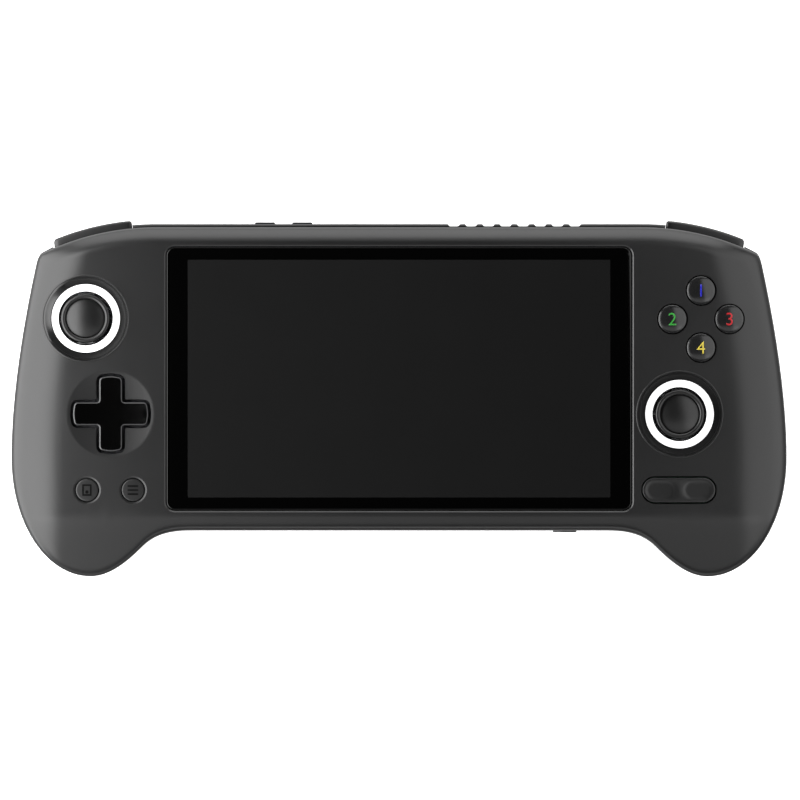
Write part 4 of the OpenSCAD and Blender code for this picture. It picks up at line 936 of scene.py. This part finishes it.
def edge_openings():
    """Vents, holes of the top keys and openings of the ports."""
    cutters = [through_wall("vent", x, VENT_Z, VENT_W, VENT_H, VENT_CORNER, *TOP_WALL) for x in VENTS]
    for node in ("volume_rocker", "power_key"):
        low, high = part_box(node)
        w = high.x - low.x - TOP_KEY_FLANGES + 2 * BUTTON_GAP
        cutters.append(through_wall("key_hole", (low.x + high.x) / 2, (low.z + high.z) / 2, w,
                                    TOP_KEY_H + 2 * BUTTON_GAP, TOP_KEY_CORNER, *TOP_WALL))
    for node, (down, w, h, r, steps) in PORTS.items():
        x = centre_of(node).x
        cutters.append(through_wall("port_hole", x, Z_PART - down, w, h, r, *FOOT_WALL, steps))
    return cutters


def intake_slits():
    fan = centre_of("fan_rotor")
    cutters = []
    for i in range(INTAKE_COUNT):
        u = (i - INTAKE_COUNT // 2) * INTAKE_PITCH
        w = 2 * math.sqrt(INTAKE_R ** 2 - u * u)
        rings = [rounded_rect(w, INTAKE_W, INTAKE_W / 2 - HAIR, Vector((fan.x, fan.y + u)), z)
                 for z in (Z_BACK - 2 * MM, Z_BACK + 3 * MM)]
        cutters.append(loft("intake_slit", rings))
    return cutters


def trigger_space(name, z_low, y_high, z_high):
    """Boxes at both shoulders from the triggers' inner end outwards."""
    return [box_object(name, (-TRIGGER_BAY, TRIGGER_IN, z_low), (TRIGGER_BAY, y_high, z_high),
                       at_shoulder(side)) for side in (-1, 1)]


def rear_shell():
    rings = [rear_field(FIELD_END, v, 0) for v in (0.97, 0.85, 0.73, 0.6, 0.5, 0.4, 0.3, 0.2, 0.1)]
    rings += [rear_field(f, 0, 0) for f in (0.9, 0.7, 0.5, 0.3, 0.15)]
    rings += [rear_rim(a, 0) for a in range(90, 5, -6)]
    rings += [rear_brim(a) for a in (0, 22.5, 45, 67.5, 90)]
    rings += [rear_rim(a, REAR_WALL) for a in INNER_ANGLES]
    rings += [rear_field(f, 0, REAR_WALL) for f in (0.5, 0.9)]
    rings += [rear_field(FIELD_END, v, REAR_WALL) for v in (0.3, 0.6, 0.97)]
    shell = loft("rear_case", rings)
    cut(shell, side_openings(-1) + side_openings(1) + edge_openings() + intake_slits())
    bays = trigger_space("trigger_bay", Z_UNDER, SHOULDER_R + 12 * MM, Z_SPLIT + HAIR)
    cut(shell, bays + [vent_notch(x) for x in VENTS])
    cut(shell, trigger_space("trigger_roof", Z_SPLIT - 2 * HAIR, BAY_IN + HAIR, Z_BACK + REAR_WALL + 1 * MM))
    shade(shell)
    dress(shell, REAR, "case", "rear_shell", "rear_shell")


# Screen: a black glass with a soft edge, and the lit area as an inlay of its face
GLASS_EDGE = 0.3 * MM
LIT_W = 121.32 * MM
LIT_H = LIT_W * 9 / 16
LIT_CORNER = 0.15 * MM


def screen():
    top = GLASS_HIGH.z
    r = GLASS_R - GLASS_GAP
    rings = [rounded_rect(GLASS_W, GLASS_H, r, SCREEN, GLASS_LOW.z)]
    for d, z in round_levels(top, GLASS_EDGE, 4):
        rings.append(rounded_rect(GLASS_W - 2 * d, GLASS_H - 2 * d, r - d, SCREEN, z))
    rings.append(rounded_rect(LIT_W, LIT_H, LIT_CORNER, SCREEN, top))
    glass = shade(loft("cover_glass", rings))
    dress(glass, GLASS, "case", "glass", "screen_glass")
    glass.data.materials.append(LIT)
    for face in glass.data.polygons:
        inside = all(abs(glass.data.vertices[v].co.x) < LIT_W / 2 + HAIR for v in face.vertices)
        if inside and face.center.z > top - HAIR and len(face.vertices) > 4:
            face.material_index = 1


# Sticks
Z_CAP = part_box("left_stick_cap")[1].z
CAP_R = 7.1 * MM
CAP_LOW = Z_CAP - 1.7 * MM
CAP_RIM = 0.75 * MM
STICK_PIVOT = Z_FACE - 13 * MM
SKIRT_R = 10.2 * MM
SKIRT_EDGE = 40
SKIRT_INNER = SKIRT_EDGE * 0.36
NECK_R = 3.6 * MM
NECK_SINK = 0.5 * MM
NECK_FLARE = 0.6 * MM
DOME_R = 5.5 * MM
DOME_LOW = Z_CAP - 1.05 * MM
DOME_RISE = 0.95 * MM
DOME_STEPS = 14

# Underside of the cap: distance from its edge, and height over its lowest plane
CAP_UNDER = [(0.9 * MM, 0), (0.25 * MM, 0.56 * MM), (0, 0.93 * MM)]

RING_IN = 7.8 * MM
RING_TUBE = 9 * MM
RING_FLANGE = 11 * MM
RING_FLANGE_TOP = 2.1 * MM
RING_FLANGE_LOW = 3.1 * MM
RING_SOFT = 0.35 * MM


def stick_cap(side):
    """Thumb cap: a round skirt, a neck, a chamfered underside, a soft rim and a low dome inside it."""
    at = STICKS[side]
    profile = [(0, STICK_PIVOT + SKIRT_R * math.cos(math.radians(SKIRT_EDGE)))]
    profile += arc(0, STICK_PIVOT, SKIRT_R, 90 - SKIRT_EDGE, 90 - SKIRT_INNER, 9)
    profile += [(NECK_R, STICK_PIVOT + SKIRT_R - NECK_SINK), (NECK_R, CAP_LOW - NECK_FLARE),
                (NECK_R + NECK_FLARE, CAP_LOW)]
    profile += [(CAP_R - d, CAP_LOW + up) for d, up in CAP_UNDER]
    profile += arc(CAP_R - CAP_RIM, Z_CAP - CAP_RIM, CAP_RIM, 0, 165, 14)
    profile += [(DOME_R + 0.1 * MM, DOME_LOW - 0.25 * MM), (DOME_R, DOME_LOW)]
    for i in range(1, DOME_STEPS):
        r = DOME_R * (1 - i / DOME_STEPS)
        profile.append((r, DOME_LOW + DOME_RISE * (1 - (r / DOME_R) ** 2)))
    profile += [(0, DOME_LOW + DOME_RISE)]
    cap = shade(lathe(side + "_thumb_cap", profile, at), math.radians(45))
    dress(cap, RUBBER, side + "_stick", "stick_rubber", side + "_stick_cap")
    # The cap's outer side and underside take the near-black material: painted shade
    cap.data.materials.append(SHADOW)
    for face in cap.data.polygons:
        r = math.hypot(face.center.x - at.x, face.center.y - at.y)
        if r > CAP_R - 0.2 * MM or face.center.z < CAP_LOW:
            face.material_index = 1


def light_ring(side):
    """Glowing ring on a tube with a flange; only its soft top glows."""
    low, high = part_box(side + "_light_ring")
    z_low, z_flange = high.z - RING_FLANGE_LOW, high.z - RING_FLANGE_TOP
    profile = [(RING_IN, low.z), (RING_TUBE, low.z), (RING_TUBE, z_low), (RING_FLANGE, z_low),
               (RING_FLANGE, z_flange), (RING_R, z_flange)]
    profile += arc(RING_R - RING_SOFT, high.z - RING_SOFT, RING_SOFT, 0, 90, 5)
    profile += arc(RING_IN + RING_SOFT, high.z - RING_SOFT, RING_SOFT, 90, 180, 5)
    ring = shade(ring_lathe(side + "_glow_ring", profile, STICKS[side]))
    dress(ring, RING, "case", "light_ring", side + "_light_ring")
    # Tube, flange and inner wall under the glowing top take the near-black material: painted shade in the
    # gap round the cap
    ring.data.materials.append(SHADOW)
    for face in ring.data.polygons:
        if face.center.z < high.z - RING_SOFT:
            face.material_index = 1


# Four-way pad with dished arms and soft edges
PAD_SOFT = 0.5 * MM
PAD_FILLET = 0.8 * MM
PAD_DISH = 0.7 * MM
PAD_FOOT = 0.5 * MM


def flat_top(work, z):
    return [f for f in work.faces if f.normal.z > 0.99 and f.calc_center_median().z > z - HAIR]


def four_way_pad():
    low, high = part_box("four_way_pad")
    rings = [cross_ring(PAD_SPAN, PAD_ARM, PAD_CORNER, PAD_FILLET, low.z + FLANGE - PAD_FOOT)]
    for d, z in round_levels(high.z, PAD_SOFT, 5):
        rings.append(cross_ring(PAD_SPAN - 2 * d, PAD_ARM - 2 * d, PAD_CORNER - d, PAD_FILLET + d, z))
    pad = loft("direction_pad", rings)
    work = bmesh.new()
    work.from_mesh(pad.data)
    bmesh.ops.triangulate(work, faces=flat_top(work, high.z))
    edges = list({e for f in flat_top(work, high.z) for e in f.edges})
    bmesh.ops.subdivide_edges(work, edges=edges, cuts=3, use_grid_fill=True)
    for v in work.verts:
        if v.co.z > high.z - PAD_SOFT - HAIR:
            d = math.hypot(v.co.x - PAD.x, v.co.y - PAD.y)
            v.co.z -= PAD_DISH * (1 - (d / (PAD_SPAN / 2)) ** 2)
    work.to_mesh(pad.data)
    work.free()
    shade(pad)
    dress(pad, PIANO, "four_way_pad", "gloss_button", "four_way_pad")
    # Faces of the sloped soft edge take the paler material: painted highlight lines round the black pad
    pad.data.materials.append(PAINTED_HIGHLIGHT)
    for face in pad.data.polygons:
        if 0.4 < face.normal.z < 0.95:
            face.material_index = 1


# Buttons
FACE_CROWN = 0.7 * MM
FACE_FLANGE = 4.9 * MM
FACE_SOFT = 0.3 * MM
SMALL_CROWN = 0.05 * MM
SMALL_FLANGE = 4.2 * MM
SMALL_SOFT = 0.08 * MM
MARK_SIZE = 5.2 * MM
MARK_SINK = 0.015 * MM
MARK_TALL = 0.06 * MM
MARK_THINNER = 0.02 * MM
MARK_COLOURS = {
    "top": (0.006, 0.006, 0.4), "left": (0.025, 0.26, 0.03), "right": (0.4, 0.008, 0.013),
    "bottom": (0.55, 0.44, 0.05)}
MARKS = {"top": "1", "left": "2", "right": "3", "bottom": "4"}


def domed_button(name, node, r, crown, flange_r, material, slot, soft, steps=12):
    """Round button with a low dome, a soft edge and a flange inside the case."""
    low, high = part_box(node)
    flange_top = low.z + FLANGE
    ball = ball_radius(r, crown)
    profile = [(0, low.z), (flange_r, low.z), (flange_r, flange_top), (r, flange_top)]
    profile += arc(r - soft, high.z - crown - soft, soft, 0, 70, 5)
    for i in range(1, steps + 1):
        d = (r - soft) * (1 - i / steps)
        profile.append((d, high.z - ball + math.sqrt(ball ** 2 - d * d)))
    button = shade(lathe(name, profile, centre_of(node), 64))
    dress(button, material, node, slot, node)


def mark(name, text, at, surface, material, body, slot):
    """A flat numeral that lies on a surface height function."""
    curve = bpy.data.curves.new(name, "FONT")
    curve.body = text
    curve.size = MARK_SIZE
    curve.align_x = "CENTER"
    curve.align_y = "CENTER"
    curve.resolution_u = 6
    curve.offset = -MARK_THINNER
    draft = add_object(name + "_draft", curve)
    graph = bpy.context.evaluated_depsgraph_get()
    mesh = bpy.data.meshes.new_from_object(draft.evaluated_get(graph))
    bpy.data.objects.remove(draft)
    work = bmesh.new()
    work.from_mesh(mesh)
    xs = [v.co.x for v in work.verts]
    ys = [v.co.y for v in work.verts]
    middle = Vector(((min(xs) + max(xs)) / 2, (min(ys) + max(ys)) / 2, 0))
    bmesh.ops.triangulate(work, faces=work.faces)
    bmesh.ops.subdivide_edges(work, edges=work.edges, cuts=5, use_grid_fill=True)
    for v in work.verts:
        x, y = v.co.x - middle.x, v.co.y - middle.y
        v.co = Vector((at.x + x, at.y + y, surface(x, y)))
    solid = bmesh.ops.extrude_face_region(work, geom=work.faces[:])
    for v in solid["geom"]:
        if isinstance(v, bmesh.types.BMVert):
            v.co.z += MARK_TALL
    bmesh.ops.recalc_face_normals(work, faces=work.faces)
    work.to_mesh(mesh)
    work.free()
    dress(add_object(name, mesh), material, body, slot)


def face_buttons():
    ball = ball_radius(FACE_R, FACE_CROWN)
    for place, text in MARKS.items():
        node = "face_button_" + place
        domed_button(place + "_cap", node, FACE_R, FACE_CROWN, FACE_FLANGE, CAP, "gloss_button", FACE_SOFT)
        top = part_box(node)[1].z
        ink = moulded(place + "_ink", MARK_COLOURS[place], 0.3)

        def surface(x, y):
            return top - ball + math.sqrt(ball ** 2 - x * x - y * y) - MARK_SINK
        mark(place + "_mark", text, centre_of(node), surface, ink, node, "gloss_button")


def frame_strokes(w, h, stroke):
    """Four strokes (x, y, width, height) of a hollow rectangle."""
    return [(0, (h - stroke) / 2, w, stroke), (0, (stroke - h) / 2, w, stroke),
            ((w - stroke) / 2, 0, stroke, h - 2 * stroke), ((stroke - w) / 2, 0, stroke, h - 2 * stroke)]


STROKE = 0.48 * MM
STROKE_CORNER = 0.3
SIGN_SINK = 0.01 * MM
SIGN_LEVELS = (-0.02 * MM, 0.03 * MM)
BAR_W = 3.1 * MM
BAR_PITCH = 1.15 * MM
SIGNS = {
    "outer": frame_strokes(2.7 * MM, 3.3 * MM, STROKE) + [(0, -0.55 * MM, 0.9 * MM, 0.9 * MM)],
    "inner": [(0, BAR_PITCH, BAR_W, STROKE), (0, 0, BAR_W, STROKE), (0, -BAR_PITCH, BAR_W, STROKE)],
}


def sign(name, strokes, at, z, material, body, slot):
    """A printed sign made of straight strokes that lie on a flat spot."""
    bars = []
    for x, y, w, h in strokes:
        spot = Vector((at.x + x, at.y + y))
        bars.append(loft(name, [rounded_rect(w, h, min(w, h) * STROKE_CORNER, spot, z + up, 3)
                                for up in SIGN_LEVELS]))
    dress(joined(bars), material, body, slot)


def small_buttons():
    ink = moulded("sign_ink", (0.0006, 0.0006, 0.0006), 0.6, specular=0.05)
    for place, strokes in SIGNS.items():
        node = place + "_small_button"
        domed_button(place + "_round_cap", node, SMALL_R, SMALL_CROWN, SMALL_FLANGE, KEYS, "matte_button",
                     SMALL_SOFT)
        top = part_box(node)[1].z - SIGN_SINK
        sign(place + "_sign", strokes, centre_of(node), top, ink, node, "matte_button")


LONG_SOFT = 0.2 * MM
LONG_TALL = 4.1 * MM
THUMB_X = 5.4 * MM
THUMB_W = 6.1 * MM
THUMB_H = 3 * MM
THUMB_GROW = 0.5 * MM
THUMB_DEPTH = 0.16 * MM


def thumb_dish(spot, z_top, steps=5):
    """Shallow oval dish that opens to a flat face at z_top."""
    rings = []
    for i in range(steps + 1):
        w, h = THUMB_W + THUMB_GROW * i, THUMB_H + THUMB_GROW * i
        depth = THUMB_DEPTH * (1 - (i / steps) ** 2)
        rings.append(rounded_rect(w, h, h / 2 - HAIR / 10, spot, z_top - depth, 12))
    w, h = w + DISH_FLARE, h + DISH_FLARE
    rings.append(rounded_rect(w, h, h / 2 - HAIR / 2, spot, z_top + 1 * MM, 12))
    return loft("thumb_dish", rings)


def long_button():
    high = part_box("long_button")[1]
    at = centre_of("long_button")
    rings = [rounded_rect(LONG_W, LONG_H, LONG_H / 2, at, high.z - LONG_TALL, 12)]
    for d, z in round_levels(high.z, LONG_SOFT, 5):
        rings.append(rounded_rect(LONG_W - 2 * d, LONG_H - 2 * d, LONG_H / 2 - d, at, z, 12))
    bar = loft("long_cap", rings)
    cut(bar, [thumb_dish(Vector((at.x + side * THUMB_X, at.y)), high.z) for side in (-1, 1)])
    shade(bar)
    dress(bar, KEYS, "long_button", "matte_button", "long_button")


front_shell()
rear_shell()
screen()
for hand in STICKS:
    stick_cap(hand)
    light_ring(hand)
    well_bead(hand)
    bumper(hand)
four_way_pad()
face_buttons()
small_buttons()
long_button()

# Stage: pale floor, softboxes and a camera that looks straight down on the face
FLOOR_HALF = 3
FLOOR_DROP = 0.05 * MM


def floor():
    material = bpy.data.materials.new("floor_white")
    material.use_nodes = True
    shader = material.node_tree.nodes["Principled BSDF"]
    shader.inputs["Base Color"].default_value = (0.9, 0.9, 0.9, 1)
    shader.inputs["Roughness"].default_value = 0.9
    shader.inputs["Emission Color"].default_value = (1, 1, 1, 1)
    shader.inputs["Emission Strength"].default_value = 0.8
    corners = [(x * FLOOR_HALF, y * FLOOR_HALF, 0) for x, y in ((-1, -1), (1, -1), (1, 1), (-1, 1))]
    plane = mesh_object("floor", corners, [[0, 1, 2, 3]])
    plane.data.materials.append(material)
    plane.location.z = -FLOOR_DROP
    plane.visible_glossy = False


def softbox(name, place, target, size, energy):
    light = bpy.data.lights.new(name, "AREA")
    light.shape = "RECTANGLE"
    light.size, light.size_y = size
    light.energy = energy
    obj = add_object(name, light)
    obj.location = place
    obj.rotation_mode = "QUATERNION"
    obj.rotation_quaternion = (Vector(target) - Vector(place)).to_track_quat("-Z", "Y")
    obj.visible_camera = False


floor()

# Softboxes: place, the spot that they face, width and height, and power in watts
softbox("left_box", (-0.29, 0, 0.092), (-0.1, 0, 0.02), (0.5, 0.15), 1.5)
softbox("near_box", (-0.192, 0, 0.187), (-0.1, 0, 0.02), (0.36, 0.13), 0.87)
softbox("edge_box", (0.29, 0, 0.092), (0.1, 0, 0.02), (0.5, 0.15), 0.15)
softbox("front_box", (0, -0.3, 0.08), (0, -0.05, 0.02), (0.6, 0.13), 0.4)
softbox("right_box", (0.271, 0.03, 0.231), (0.1, 0, 0.02), (0.5, 0.344), 0.96)
softbox("top_box", (0, 0.556, 0.17), (0, 0.04, 0.02), (0.7, 0.33), 2.46)
softbox("low_box", (0, -0.21, 0.396), (0, -0.04, 0.02), (0.7, 0.169), 0.36)


def studio():
    """Dim world whose lower half, which only reflections see, is brighter to the left and the top."""
    world = bpy.data.worlds.new("studio")
    bpy.context.scene.world = world
    world.use_nodes = True
    nodes, links = world.node_tree.nodes, world.node_tree.links
    nodes["Background"].inputs["Color"].default_value = (1, 1, 1, 1)
    place = nodes.new("ShaderNodeTexCoord")
    ways = nodes.new("ShaderNodeSeparateXYZ")
    below = nodes.new("ShaderNodeMapRange")
    below.inputs["From Min"].default_value = -0.05
    below.inputs["From Max"].default_value = 0.08
    below.inputs["To Min"].default_value = 1
    below.inputs["To Max"].default_value = 0.02
    lean = nodes.new("ShaderNodeVectorMath")
    lean.operation = "DOT_PRODUCT"
    lean.inputs[1].default_value = (-0.45, 0.8, 0)
    level = nodes.new("ShaderNodeMath")
    level.operation = "ADD"
    level.inputs[1].default_value = 0.9
    both = nodes.new("ShaderNodeMath")
    both.operation = "MULTIPLY"
    links.new(place.outputs["Generated"], ways.inputs["Vector"])
    links.new(place.outputs["Generated"], lean.inputs[0])
    links.new(ways.outputs["Z"], below.inputs["Value"])
    links.new(lean.outputs["Value"], level.inputs[0])
    links.new(level.outputs["Value"], both.inputs[0])
    links.new(below.outputs["Result"], both.inputs[1])
    links.new(both.outputs["Value"], nodes["Background"].inputs["Strength"])


studio()
bpy.context.scene.view_settings.view_transform = "Standard"

FRAME_WIDTH = 229.7 * MM
VIEW_CENTRE = Vector((0.29 * MM, -0.43 * MM, Z_FACE))
camera_data = bpy.data.cameras.new("camera")
camera_data.lens = 600
camera = add_object("camera", camera_data)
camera.location = VIEW_CENTRE + Vector((0, 0, FRAME_WIDTH * camera_data.lens / camera_data.sensor_width))
bpy.context.scene.camera = camera
